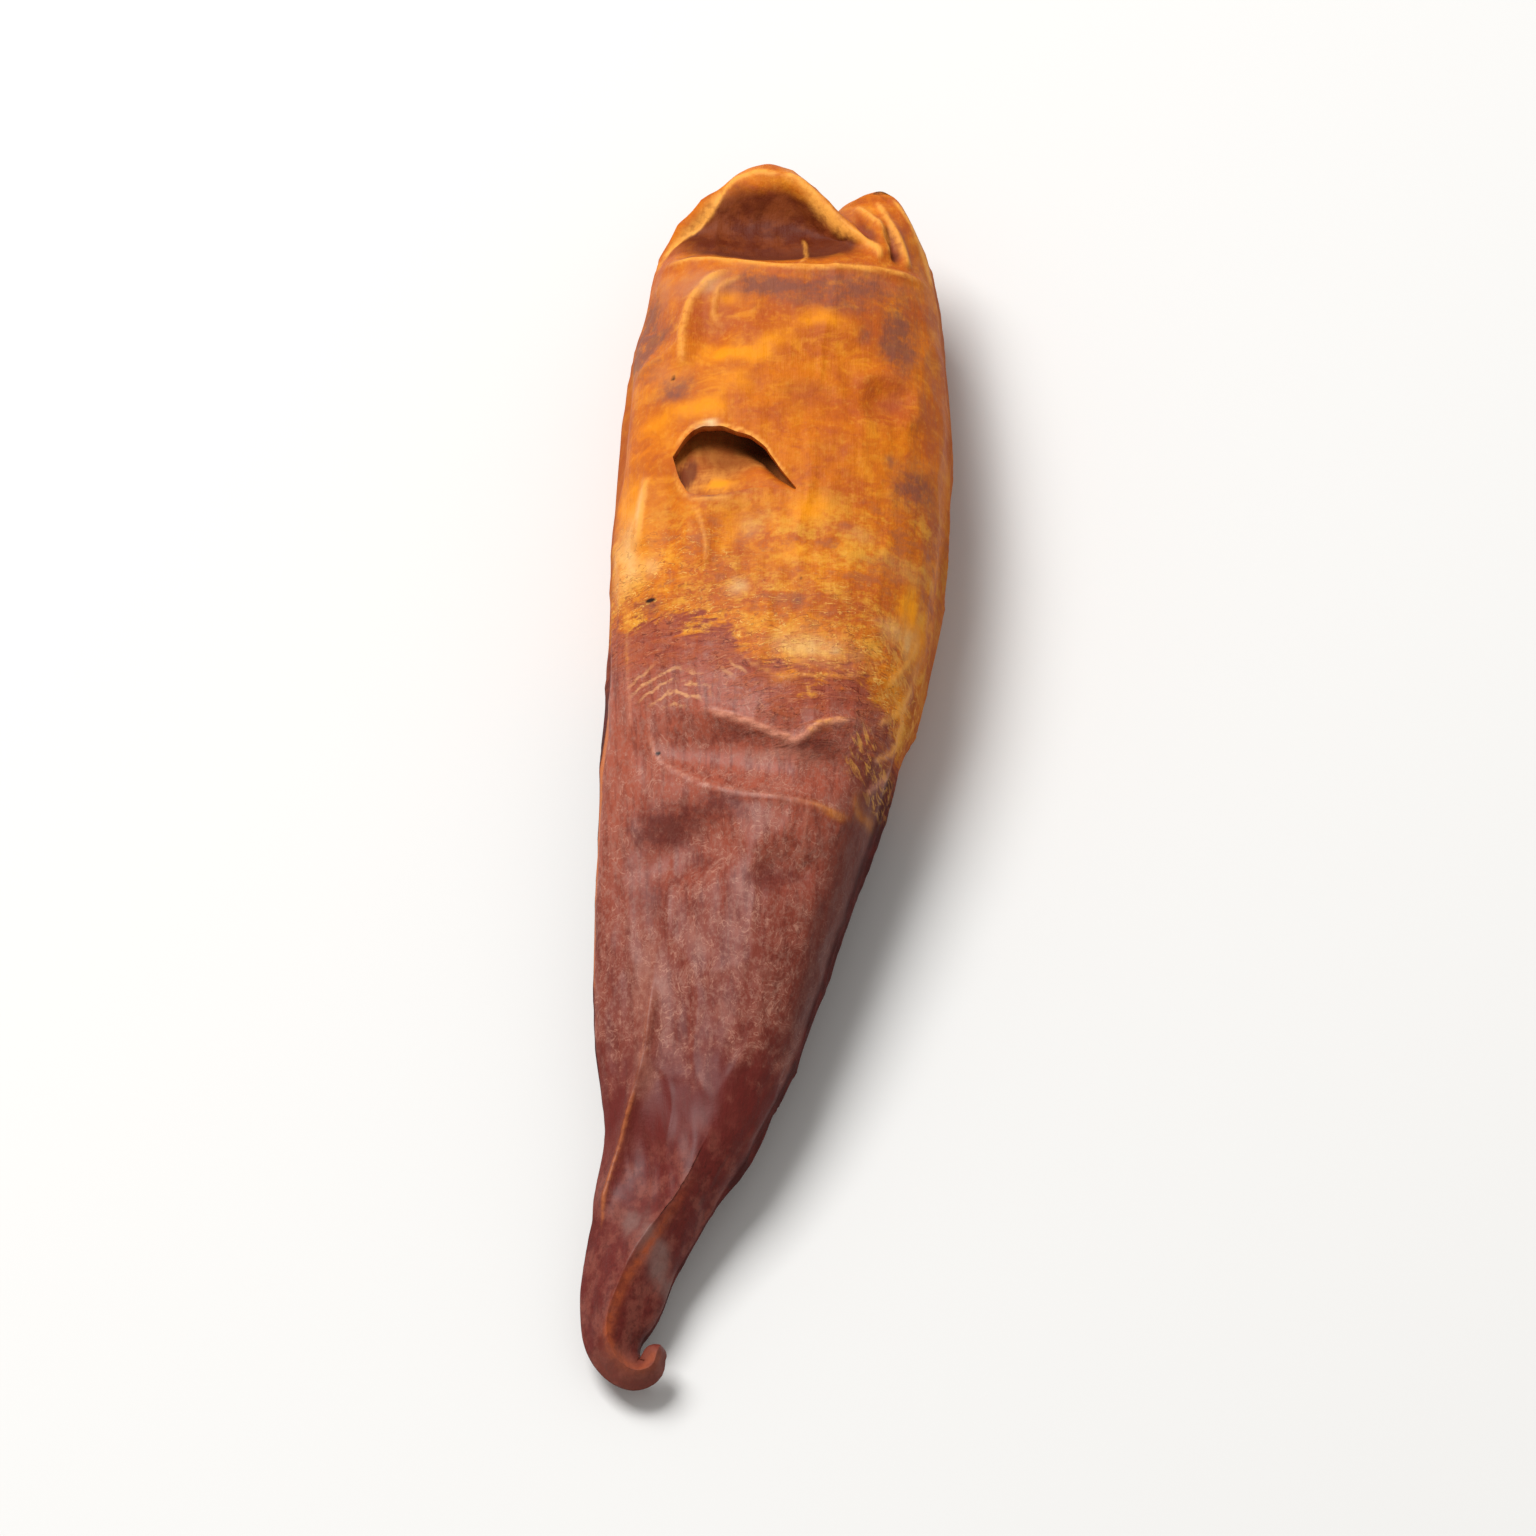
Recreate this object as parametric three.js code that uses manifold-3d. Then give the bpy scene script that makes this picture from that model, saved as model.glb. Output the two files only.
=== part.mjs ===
// A dried chili pepper with its stem picked off: one thin, leathery pod that lies on its flattened back.
// Millimetres, +Z up. +Y runs from the hooked tip to the shoulder, where the stem was. The origin is on the
// surface that the pod lies on, under the middle of it.
import * as THREE from "three";
import { mergeVertices } from "three/addons/utils/BufferGeometryUtils.js";
import Module from "manifold-3d";

// The pod from the shoulder to the end of the hook: where its middle runs, half its width across, and the
// height of its crown and of its belly. Where the belly dips under 0 the pod lies flat.
const SECTIONS = [
  { x: 1.9, y: 33.0, half: 8.9, crown: 11.4, belly: 0.9 },
  { x: 1.7, y: 29.0, half: 9.7, crown: 12.3, belly: 0.3 },
  { x: 1.4, y: 23.4, half: 10.5, crown: 12.8, belly: -0.2 },
  { x: 1.1, y: 15.7, half: 10.8, crown: 13.0, belly: -0.4 },
  { x: 0.5, y: 7.5, half: 10.6, crown: 12.8, belly: -0.5 },
  { x: -0.85, y: -0.5, half: 9.7, crown: 12.2, belly: -0.5 },
  { x: -2.25, y: -8.0, half: 8.8, crown: 11.2, belly: -0.3 },
  { x: -3.45, y: -15.5, half: 7.7, crown: 9.8, belly: 0.1 },
  { x: -4.45, y: -22.0, half: 6.5, crown: 8.3, belly: 0.5 },
  { x: -5.45, y: -28.0, half: 4.9, crown: 7.1, belly: 0.8 },
  { x: -6.95, y: -32.6, half: 3.7, crown: 6.2, belly: 0.9 },
  { x: -8.4, y: -36.4, half: 3.0, crown: 5.6, belly: 0.7 },
  { x: -9.2, y: -39.5, half: 2.65, crown: 4.9, belly: 0.5 },
  { x: -9.65, y: -41.7, half: 2.0, crown: 4.2, belly: 0.4 },
  { x: -9.3, y: -43.25, half: 1.5, crown: 3.5, belly: 0.5 },
  { x: -8.4, y: -44.15, half: 1.15, crown: 3.2, belly: 0.7 },
  { x: -7.45, y: -44.0, half: 0.95, crown: 3.2, belly: 1.1 },
  { x: -7.05, y: -43.15, half: 0.75, crown: 3.4, belly: 1.7 },
];
const WAIST = 0.45; // where a section is widest, as a share of its height
const SQUARENESS = 0.78; // 1 is an ellipse, and less is a flatter section with rounder edges

// The left edge is pressed thin: by which share of its thickness at the tip's end and at the shoulder's, and
// how far across the section that reaches.
const THIN_EDGE = { tip: 0.6, tipY: -20, shoulder: 0.1, shoulderY: 20, across: 0.6 };

// Near the tip the crown sharpens to a fold. It crosses from the right of the middle to the left, given as
// shares of the half width, between two places along the pod.
const CROWN_FOLD = {
  sharpness: 0.75,
  startY: -27,
  fullY: -36,
  right: 0.45,
  rightY: -31,
  left: -0.25,
  leftY: -43,
};

// The shoulder past the first section: how far the lobes, notches and horns of its rim reach, every 15
// degrees round it, a quarter turn to a line, from the right flank over the crown to the left and below.
const RIM = [
  [1.4, 2.4, 6.3, 3.4, 2.0, 4.4],
  [6.5, 7.4, 6.8, 5.4, 3.9, 2.8],
  [2.3, 3.4, 4.6, 4.9, 4.2, 4.0],
  [5.0, 5.5, 4.7, 3.5, 2.8, 2.0],
].flat();
const RIM_ROUNDNESS = 4; // higher is a blunter shoulder with a tighter rim
const RIM_BEGINS = 0.1; // within this share of the section the lobes have run together round the scar
const RIM_FULL = 0.85; // and outside this share they have their full reach
const STEM_SCAR = { reach: 4.2, depth: 1.6, radius: 0.3 }; // the pit the stem left, its radius a share too

// Folds that stand up from the upper skin, each along a path of [x, y].
const CREASES = [
  {
    name: "shoulder crease",
    rise: 0.6,
    width: 0.55,
    path: [[-6, 31.8], [-3, 31.3], [1.5, 30.3], [6, 30.2], [10.4, 30.4]],
  },
  { name: "inner pleat", rise: 0.7, width: 0.5, path: [[3.2, 36.2], [4.2, 34.8], [5.5, 33], [6.8, 31.2]] },
  { name: "outer pleat", rise: 0.6, width: 0.5, path: [[5.5, 37.2], [6.9, 35], [7.8, 33.4], [7.9, 31.6]] },
  {
    name: "left shoulder fold",
    rise: 0.4,
    width: 0.5,
    path: [[-2.8, 30.6], [-4.6, 28.3], [-5.2, 26], [-5.3, 22.8]],
  },
  {
    name: "upper edge of the trough",
    rise: 0.75,
    width: 0.5,
    path: [[-2.2, -1.8], [0.9, -3.4], [2.1, -3.6], [3.7, -2.6], [5.6, -2.4]],
  },
  {
    name: "lower edge of the trough",
    rise: 0.55,
    width: 0.6,
    path: [[-7.6, -0.5], [-7.2, -3.4], [-5.5, -5.1], [-3, -6.6], [0.7, -7.7], [3.8, -8.3]],
  },
  {
    name: "left ridge",
    rise: 0.7,
    width: 0.6,
    path: [[-7.0, -17.5], [-7.6, -23.5], [-8.7, -27.5], [-9.6, -31], [-10.5, -34.4]],
  },
];
const CREST_ROUNDING = 0.14; // how far the crest of a fold is rounded over
const CREASE_STEPS = 20; // straight lines that each path is drawn with

// Hollows where the skin has sunk as it dried: middle, half lengths along x and y, turn and depth.
const DENTS = [
  { name: "shoulder hollow", x: 0.2, y: 34.5, along: 6.6, across: 2.8, turn: -5, depth: 2.3 },
  { name: "hollow above the tear", x: 4.5, y: 21.5, along: 4.2, across: 3.2, turn: 20, depth: 0.6 },
  { name: "trough", x: -0.6, y: -4.6, along: 6.2, across: 2.0, turn: -14, depth: 1.1 },
  { name: "left dimple", x: -5.2, y: -10.3, along: 3.0, across: 2.2, turn: 10, depth: 0.8 },
  { name: "right dimple", x: 1.3, y: -12.2, along: 2.2, across: 1.5, turn: 0, depth: 0.7 },
  { name: "tip hollow", x: -7.6, y: -31.5, along: 1.6, across: 3.4, turn: 20, depth: 0.4 },
  { name: "valley between the pleats", x: 6.3, y: 34.2, along: 0.5, across: 1.9, turn: 28, depth: 0.5 },
  { name: "crevice by the horn", x: 8.1, y: 33, along: 0.4, across: 1.6, turn: 14, depth: 0.7 },
];
const DENT_EDGE = 3; // higher is a flatter floor with a steeper edge

// Creases and dents belong to the upper face: they fade where the skin's outward direction drops this low.
const UPPER_FACE = { fadedZ: 0.05, fullZ: 0.4 };

// The tear: the lip that still stands and the edge of the flap that has sunk under it, left to right.
const TEAR = {
  lip: [[-6.0, 16.6], [-5.0, 18.0], [-3.9, 18.5], [-1.8, 17.9], [-0.2, 16.8], [0.8, 15.2], [1.9, 13.7]],
  flap: [[-5.8, 16.0], [-5.2, 14.4], [-4.6, 13.5], [-2.6, 13.6], [-0.8, 13.9], [0.6, 13.7], [1.8, 13.4]],
  depth: 2.6,
  undercut: 1.6,
  skin: 0.6,
  backHeight: 0.6, // where the pocket's back stands, as a share of the way from the skin to its floor
  steps: 14,
};
const TEAR_HEADROOM = 2; // how far the wedge that opens the tear stands out of the skin
const TEAR_STEP = 0.1; // how much lower the flap's edge starts, and how much the pocket's floor falls

// The crumpled skin: facets sunk between thin folds, from points strewn over the pod. The upper face dried
// smoother than the flanks and the back, and neither the hook nor the flat underneath has room for facets.
const CRUMPLE = { points: 130, seed: 20, rise: 0.85, width: 0.8, stretch: 0.5, level: 0.85, onTop: 0.25 };
const CRUMPLE_FADES = { hookY: -41, bodyY: -30, flatZ: 0.2, flankZ: 1.8, topTilt: 0.05, backTilt: 0.6 };

// How fine the mesh is.
const AROUND = 56;
const BODY_ROWS = 84;
const SHOULDER_ROWS = 10;
const TIP_ROWS = 4;
const ROWS_TO_HOOK = 0.35; // the share by which rows crowd where sections stand close, as they do in the hook
const SLOPE_STEPS = { turn: 0.02, size: 0.02, along: 0.002 }; // how far off the skin's slopes are measured
const HALVINGS = 24; // that find the place along the spine for a y
const WELD = 1e-5; // points closer than this are one

const smooth = THREE.MathUtils.smoothstep;
const lerp = THREE.MathUtils.lerp;
const QUARTER = Math.PI / 2;
const lastSection = SECTIONS[SECTIONS.length - 1];

const spine = new THREE.CatmullRomCurve3(SECTIONS.map((s) => new THREE.Vector3(s.x, s.y, 0)));
const girth = new THREE.CatmullRomCurve3(SECTIONS.map((s) => new THREE.Vector3(s.half, s.crown, s.belly)));
const rim = new THREE.CatmullRomCurve3(RIM.map((reach) => new THREE.Vector3(reach, 0, 0)), true);
for (const curve of [spine, girth, rim]) curve.curveType = "catmullrom";

// The share of a section's height above or below its waist, at a place across it from -1 to 1.
function fullnessAt(across, up, y) {
  const thin = lerp(THIN_EDGE.tip, THIN_EDGE.shoulder, smooth(y, THIN_EDGE.tipY, THIN_EDGE.shoulderY));
  const round = Math.abs(up) ** SQUARENESS * lerp(1 - thin, 1, smooth(across, -1, THIN_EDGE.across));
  if (up <= 0) return round;
  const ridge = lerp(CROWN_FOLD.left, CROWN_FOLD.right, smooth(y, CROWN_FOLD.leftY, CROWN_FOLD.rightY));
  const tent = across < ridge ? (across + 1) / (ridge + 1) : (1 - across) / (1 - ridge);
  const sharp = CROWN_FOLD.sharpness * smooth(-y, -CROWN_FOLD.startY, -CROWN_FOLD.fullY);
  return lerp(round, tent, sharp);
}

// A point on the plain skin, before folds: t runs along the pod, phi round it, and size shrinks the section
// towards its middle, with the shoulder's lobes and the stem's pit beyond the first section.
function plainSkin(t, phi, size) {
  const middle = spine.getPoint(t);
  const tangent = spine.getTangent(t);
  const { x: half, y: crown, z: belly } = girth.getPoint(t);
  const waist = lerp(belly, crown, WAIST);
  const across = Math.sign(Math.cos(phi)) * Math.abs(Math.cos(phi)) ** SQUARENESS;
  const up = Math.sin(phi);
  const height = (up > 0 ? crown - waist : belly - waist) * fullnessAt(across, up, middle.y);

  const point = new THREE.Vector3(middle.x, middle.y, waist + height * size);
  point.x -= tangent.y * across * half * size;
  point.y += tangent.x * across * half * size;
  if (t === 0) {
    const turn = THREE.MathUtils.euclideanModulo(Math.atan2(up, across) / (4 * QUARTER), 1);
    const reach = lerp(STEM_SCAR.reach, rim.getPoint(turn).x, smooth(size, RIM_BEGINS, RIM_FULL));
    point.y += reach * Math.sqrt(1 - size ** RIM_ROUNDNESS);
    point.y -= STEM_SCAR.depth * Math.exp(-((size / STEM_SCAR.radius) ** 2));
  }
  return point;
}

// Rows of the mesh, from the stem's pit over the shoulder and down the body to the hook's end. The last
// few lean out along the spine, which rounds the end.
function skinRows() {
  const rows = [];
  for (let i = 1; i < SHOULDER_ROWS; i++) {
    rows.push({ t: 0, size: Math.sin((i / SHOULDER_ROWS) * QUARTER), out: 0 });
  }
  for (let i = 0; i <= BODY_ROWS; i++) {
    const even = spine.getUtoTmapping(i / BODY_ROWS);
    rows.push({ t: lerp(even, i / BODY_ROWS, ROWS_TO_HOOK), size: 1, out: 0 });
  }
  for (let i = 1; i < TIP_ROWS; i++) {
    const turn = (i / TIP_ROWS) * QUARTER;
    rows.push({ t: 1, size: Math.cos(turn), out: Math.sin(turn) * lastSection.half });
  }
  return rows;
}

function rowPoint(row, phi) {
  return plainSkin(row.t, phi, row.size).addScaledVector(spine.getTangent(row.t), row.out);
}

// The row's neighbour a little way off, over the shoulder by size and along the body by t.
function rowBeside(row, side) {
  if (row.t === 0 && row.size < 1) {
    const size = THREE.MathUtils.clamp(row.size + side * SLOPE_STEPS.size, 0, 1);
    return { ...row, size };
  }
  const t = THREE.MathUtils.clamp(row.t + side * SLOPE_STEPS.along, 0, 1);
  return { ...row, t };
}

// The plain skin's outward direction.
function skinNormal(row, phi) {
  const round = rowPoint(row, phi + SLOPE_STEPS.turn).sub(rowPoint(row, phi - SLOPE_STEPS.turn));
  const along = rowPoint(rowBeside(row, 1), phi).sub(rowPoint(rowBeside(row, -1), phi));
  return round.cross(along).normalize();
}

// A fold's profile: a crest, rounded over a little way, with hollow flanks.
const crest = (distance, width) => Math.exp(-Math.hypot(distance, CREST_ROUNDING) / width);

const asVectors = (path) => path.map(([x, y]) => new THREE.Vector3(x, y, 0));
const creaseLines = CREASES.map((crease) => {
  const points = new THREE.CatmullRomCurve3(asVectors(crease.path)).getPoints(CREASE_STEPS);
  return points.slice(1).map((point, i) => new THREE.Line3(points[i], point));
});

// Distance in plan from a point to a crease.
function distanceTo(lines, point) {
  const flat = new THREE.Vector3(point.x, point.y, 0);
  const nearest = new THREE.Vector3();
  const distances = lines.map((line) => line.closestPointToPoint(flat, true, nearest).distanceTo(flat));
  return Math.min(...distances);
}

// How deep a dent is at a point.
function dentDepth(dent, point) {
  const offset = new THREE.Vector2(point.x - dent.x, point.y - dent.y);
  offset.rotateAround(new THREE.Vector2(), -THREE.MathUtils.degToRad(dent.turn));
  const r = Math.hypot(offset.x / dent.along, offset.y / dent.across);
  return dent.depth * Math.exp(-(r ** DENT_EDGE));
}

// Points strewn over the skin by a seeded generator, for the crumple.
function strewnPoints() {
  let state = CRUMPLE.seed;
  const random = () => {
    state = (Math.imul(state, 1664525) + 1013904223) >>> 0;
    return state / 2 ** 32;
  };
  const points = [];
  for (let i = 0; i < CRUMPLE.points; i++) {
    const t = spine.getUtoTmapping(random());
    points.push(plainSkin(t, random() * 4 * QUARTER, 1));
  }
  return points;
}
const strewn = strewnPoints();

// How near a point is to the edge between two facets: 0 on the edge.
function facetEdge(point) {
  const stretched = new THREE.Vector3(1, CRUMPLE.stretch, 1);
  const distances = strewn.map((s) => s.clone().sub(point).multiply(stretched).length());
  const [nearest, second] = distances.sort((a, b) => a - b);
  return second - nearest;
}

// How far the dried skin stands out from the plain one.
function relief(point, normal) {
  const above = smooth(normal.z, UPPER_FACE.fadedZ, UPPER_FACE.fullZ);
  let out = 0;
  CREASES.forEach((crease, i) => {
    out += above * crease.rise * crest(distanceTo(creaseLines[i], point), crease.width);
  });
  for (const dent of DENTS) out -= above * dentDepth(dent, point);

  const rough =
    lerp(CRUMPLE.onTop, 1, smooth(-normal.z, CRUMPLE_FADES.topTilt, CRUMPLE_FADES.backTilt)) *
    smooth(point.y, CRUMPLE_FADES.hookY, CRUMPLE_FADES.bodyY) *
    smooth(point.z, CRUMPLE_FADES.flatZ, CRUMPLE_FADES.flankZ);
  return out + rough * CRUMPLE.rise * (crest(facetEdge(point), CRUMPLE.width) - CRUMPLE.level);
}

// The whole skin as a closed mesh.
function podGeometry() {
  const rows = skinRows();
  const points = [];
  for (const row of rows) {
    for (let j = 0; j < AROUND; j++) {
      const phi = (j / AROUND) * 4 * QUARTER;
      const point = rowPoint(row, phi);
      const normal = skinNormal(row, phi);
      point.addScaledVector(normal, relief(point, normal));
      point.z = Math.max(point.z, 0);
      points.push(point);
    }
  }
  const pit = points.push(plainSkin(0, 0, 0)) - 1;
  const end = points.push(rowPoint({ t: 1, size: 0, out: lastSection.half }, 0)) - 1;

  const index = [];
  const at = (i, j) => i * AROUND + (j % AROUND);
  for (let j = 0; j < AROUND; j++) {
    index.push(pit, at(0, j + 1), at(0, j));
    index.push(end, at(rows.length - 1, j), at(rows.length - 1, j + 1));
    for (let i = 0; i + 1 < rows.length; i++) {
      index.push(at(i, j), at(i + 1, j + 1), at(i + 1, j));
      index.push(at(i, j), at(i, j + 1), at(i + 1, j + 1));
    }
  }
  return new THREE.BufferGeometry().setFromPoints(points).setIndex(index);
}

// Height of the plain skin over a spot on the upper face.
function crownHeight(x, y) {
  let above = 0;
  let below = 1;
  for (let i = 0; i < HALVINGS; i++) {
    const t = (above + below) / 2;
    if (spine.getPoint(t).y > y) above = t;
    else below = t;
  }
  const across = (x - spine.getPoint(above).x) / girth.getPoint(above).x;
  return plainSkin(above, Math.acos(THREE.MathUtils.clamp(across, -1, 1)), 1).z;
}

// The wedge that opens the tear: it slopes down under the lip as the torn flap does, and on beneath the skin.
function tearGeometry() {
  const lip = new THREE.CatmullRomCurve3(asVectors(TEAR.lip)).getPoints(TEAR.steps);
  const flap = new THREE.CatmullRomCurve3(asVectors(TEAR.flap)).getPoints(TEAR.steps);
  const points = [];
  lip.forEach((edge, i) => {
    const open = Math.sin((Math.PI * (i + 0.5)) / (TEAR.steps + 1));
    const depth = TEAR.depth * Math.sqrt(open);
    const beyond = edge.clone().sub(flap[i]).setLength(TEAR.undercut * open);
    const inner = edge.clone().add(beyond);
    const lipTop = crownHeight(edge.x, edge.y);
    const flapTop = crownHeight(flap[i].x, flap[i].y);
    points.push(
      flap[i].clone().setZ(flapTop + TEAR_HEADROOM),
      flap[i].clone().setZ(flapTop - TEAR_STEP),
      edge.clone().setZ(lipTop - depth),
      inner.clone().setZ(lipTop - depth - TEAR_STEP),
      inner.clone().setZ(lipTop - lerp(TEAR.skin, depth, TEAR.backHeight)),
      edge.clone().setZ(lipTop - TEAR.skin),
      edge.clone().setZ(lipTop + TEAR_HEADROOM),
    );
  });

  const ring = points.length / lip.length;
  const endRing = TEAR.steps * ring;
  const index = [];
  for (let k = 0; k < ring; k++) {
    const next = (k + 1) % ring;
    for (let a = 0; a < endRing; a += ring) {
      index.push(a + k, a + ring + next, a + ring + k);
      index.push(a + k, a + next, a + ring + next);
    }
    if (k > 0 && k < ring - 1) index.push(0, k + 1, k, endRing, endRing + k, endRing + k + 1);
  }
  return new THREE.BufferGeometry().setFromPoints(points).setIndex(index);
}

const wasm = await Module();
wasm.setup();

function toSolid(geometry) {
  const merged = mergeVertices(geometry, WELD);
  return new wasm.Manifold(
    new wasm.Mesh({
      numProp: 3,
      vertProperties: merged.attributes.position.array,
      triVerts: new Uint32Array(merged.index.array),
    }),
  );
}

function toGeometry(solid) {
  const mesh = solid.getMesh();
  const geometry = new THREE.BufferGeometry();
  geometry.setAttribute("position", new THREE.BufferAttribute(mesh.vertProperties, 3));
  geometry.setIndex(new THREE.BufferAttribute(mesh.triVerts, 1));
  geometry.computeVertexNormals();
  return geometry;
}

const podSkin = toGeometry(toSolid(podGeometry()).subtract(toSolid(tearGeometry())));

// The origin goes to the middle of the pod's box, on the surface.
podSkin.computeBoundingBox();
const middle = podSkin.boundingBox.getCenter(new THREE.Vector3());
podSkin.translate(-middle.x, -middle.y, -podSkin.boundingBox.min.z);

const pod = new THREE.Mesh(
  podSkin,
  new THREE.MeshStandardMaterial({ color: 0x6e1c12, roughness: 0.42, metalness: 0 }),
);
pod.name = "pod";

const chili = new THREE.Group();
chili.name = "dried_chili_pepper";
chili.add(pod);

export default chili;
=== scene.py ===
# The finish of a dried chili pepper: a thin, waxy, wrinkled pod, deep red with a sun-bleached shoulder.
# Its skin replaces the plain solid. Shapes are worked out in millimetres and become metres in the mesh.
import math

import bpy
import numpy as np
from mathutils import Matrix, Vector, kdtree, noise


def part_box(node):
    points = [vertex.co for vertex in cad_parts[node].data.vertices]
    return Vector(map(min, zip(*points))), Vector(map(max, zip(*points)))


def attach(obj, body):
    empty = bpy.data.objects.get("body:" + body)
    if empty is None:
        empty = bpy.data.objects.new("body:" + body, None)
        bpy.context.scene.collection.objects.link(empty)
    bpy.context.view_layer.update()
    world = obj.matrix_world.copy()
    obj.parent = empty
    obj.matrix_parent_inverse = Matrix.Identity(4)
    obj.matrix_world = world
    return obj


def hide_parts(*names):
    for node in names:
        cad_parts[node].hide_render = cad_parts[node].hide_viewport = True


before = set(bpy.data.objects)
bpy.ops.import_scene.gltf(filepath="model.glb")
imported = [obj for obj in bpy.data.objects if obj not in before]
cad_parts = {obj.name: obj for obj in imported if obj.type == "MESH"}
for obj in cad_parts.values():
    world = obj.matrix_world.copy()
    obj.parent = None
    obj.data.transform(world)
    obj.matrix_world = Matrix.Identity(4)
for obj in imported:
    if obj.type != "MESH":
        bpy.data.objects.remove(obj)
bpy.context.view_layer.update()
MM = 0.001

# The pod from the shoulder to the end of the hook: where its middle runs (x, y), half its width across, and
# the height of its crown and of its belly. Where the belly dips under 0 the pod lies flat.
SECTIONS = [
    (1.9, 33.0, 8.9, 11.4, 0.9),
    (1.7, 29.0, 9.7, 12.3, 0.3),
    (1.4, 23.4, 10.5, 12.8, -0.2),
    (1.1, 15.7, 10.8, 13.0, -0.4),
    (0.5, 7.5, 10.6, 12.8, -0.5),
    (-0.85, -0.5, 9.7, 12.2, -0.5),
    (-2.25, -8.0, 8.8, 11.2, -0.3),
    (-3.45, -15.5, 7.7, 9.8, 0.1),
    (-4.45, -22.0, 6.5, 8.3, 0.5),
    (-5.45, -28.0, 4.9, 7.1, 0.8),
    (-6.95, -32.6, 3.7, 6.2, 0.9),
    (-8.4, -36.4, 3.0, 5.6, 0.7),
    (-9.2, -39.5, 2.65, 4.9, 0.5),
    (-9.65, -41.7, 2.0, 4.2, 0.4),
    (-9.3, -43.25, 1.5, 3.5, 0.5),
    (-8.4, -44.15, 1.15, 3.2, 0.7),
    (-7.45, -44.0, 0.95, 3.2, 1.1),
    (-7.05, -43.15, 0.75, 3.4, 1.7),
]
WAIST = 0.45  # where a section is widest, as a share of its height
SQUARENESS = 0.78  # 1 is an ellipse, and less is a flatter section with rounder edges
THIN_EDGE = {"tip": 0.6, "tip_y": -20, "shoulder": 0.1, "shoulder_y": 20, "across": 0.6}
CROWN_FOLD = {
    "sharpness": 0.75,
    "start_y": -27,
    "full_y": -36,
    "right": 0.45,
    "right_y": -31,
    "left": -0.25,
    "left_y": -43,
}
CROWN_FOLD_PATH = [
    *((-3.6, -31.4), (-5.3, -33.5), (-7, -36.1), (-8.8, -38.8)),
    *((-9.7, -40.9), (-10, -42.6), (-8.9, -44), (-7.7, -44.2), (-7.1, -43.5)),
]

# How far the shoulder's rim reaches past the first section, every 15 degrees, a quarter turn to a line.
RIM = [
    *(1.4, 2.4, 6.3, 3.4, 2.0, 4.4),
    *(6.5, 7.4, 6.8, 5.4, 3.9, 2.8),
    *(2.3, 3.4, 4.6, 4.9, 4.2, 4.0),
    *(5.0, 5.5, 4.7, 3.5, 2.8, 2.0),
]
RIM_ROUNDNESS = 4
RIM_BEGINS = 0.1
RIM_FULL = 0.85
STEM_SCAR = {"reach": 4.2, "depth": 1.6, "radius": 0.3}

# The tear: the lip that still stands and the edge of the flap that has sunk under it, left to right.
TEAR_LIP = [(-6.0, 16.6), (-5.0, 18.0), (-3.9, 18.5), (-1.8, 17.9), (-0.2, 16.8), (0.8, 15.2), (1.9, 13.7)]
TEAR_FLAP = [(-5.9, 16.2), (-5.5, 14.8), (-4.8, 13.8), (-3.2, 13.5), (-0.9, 13.8), (0.6, 13.7), (1.8, 13.4)]

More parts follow.
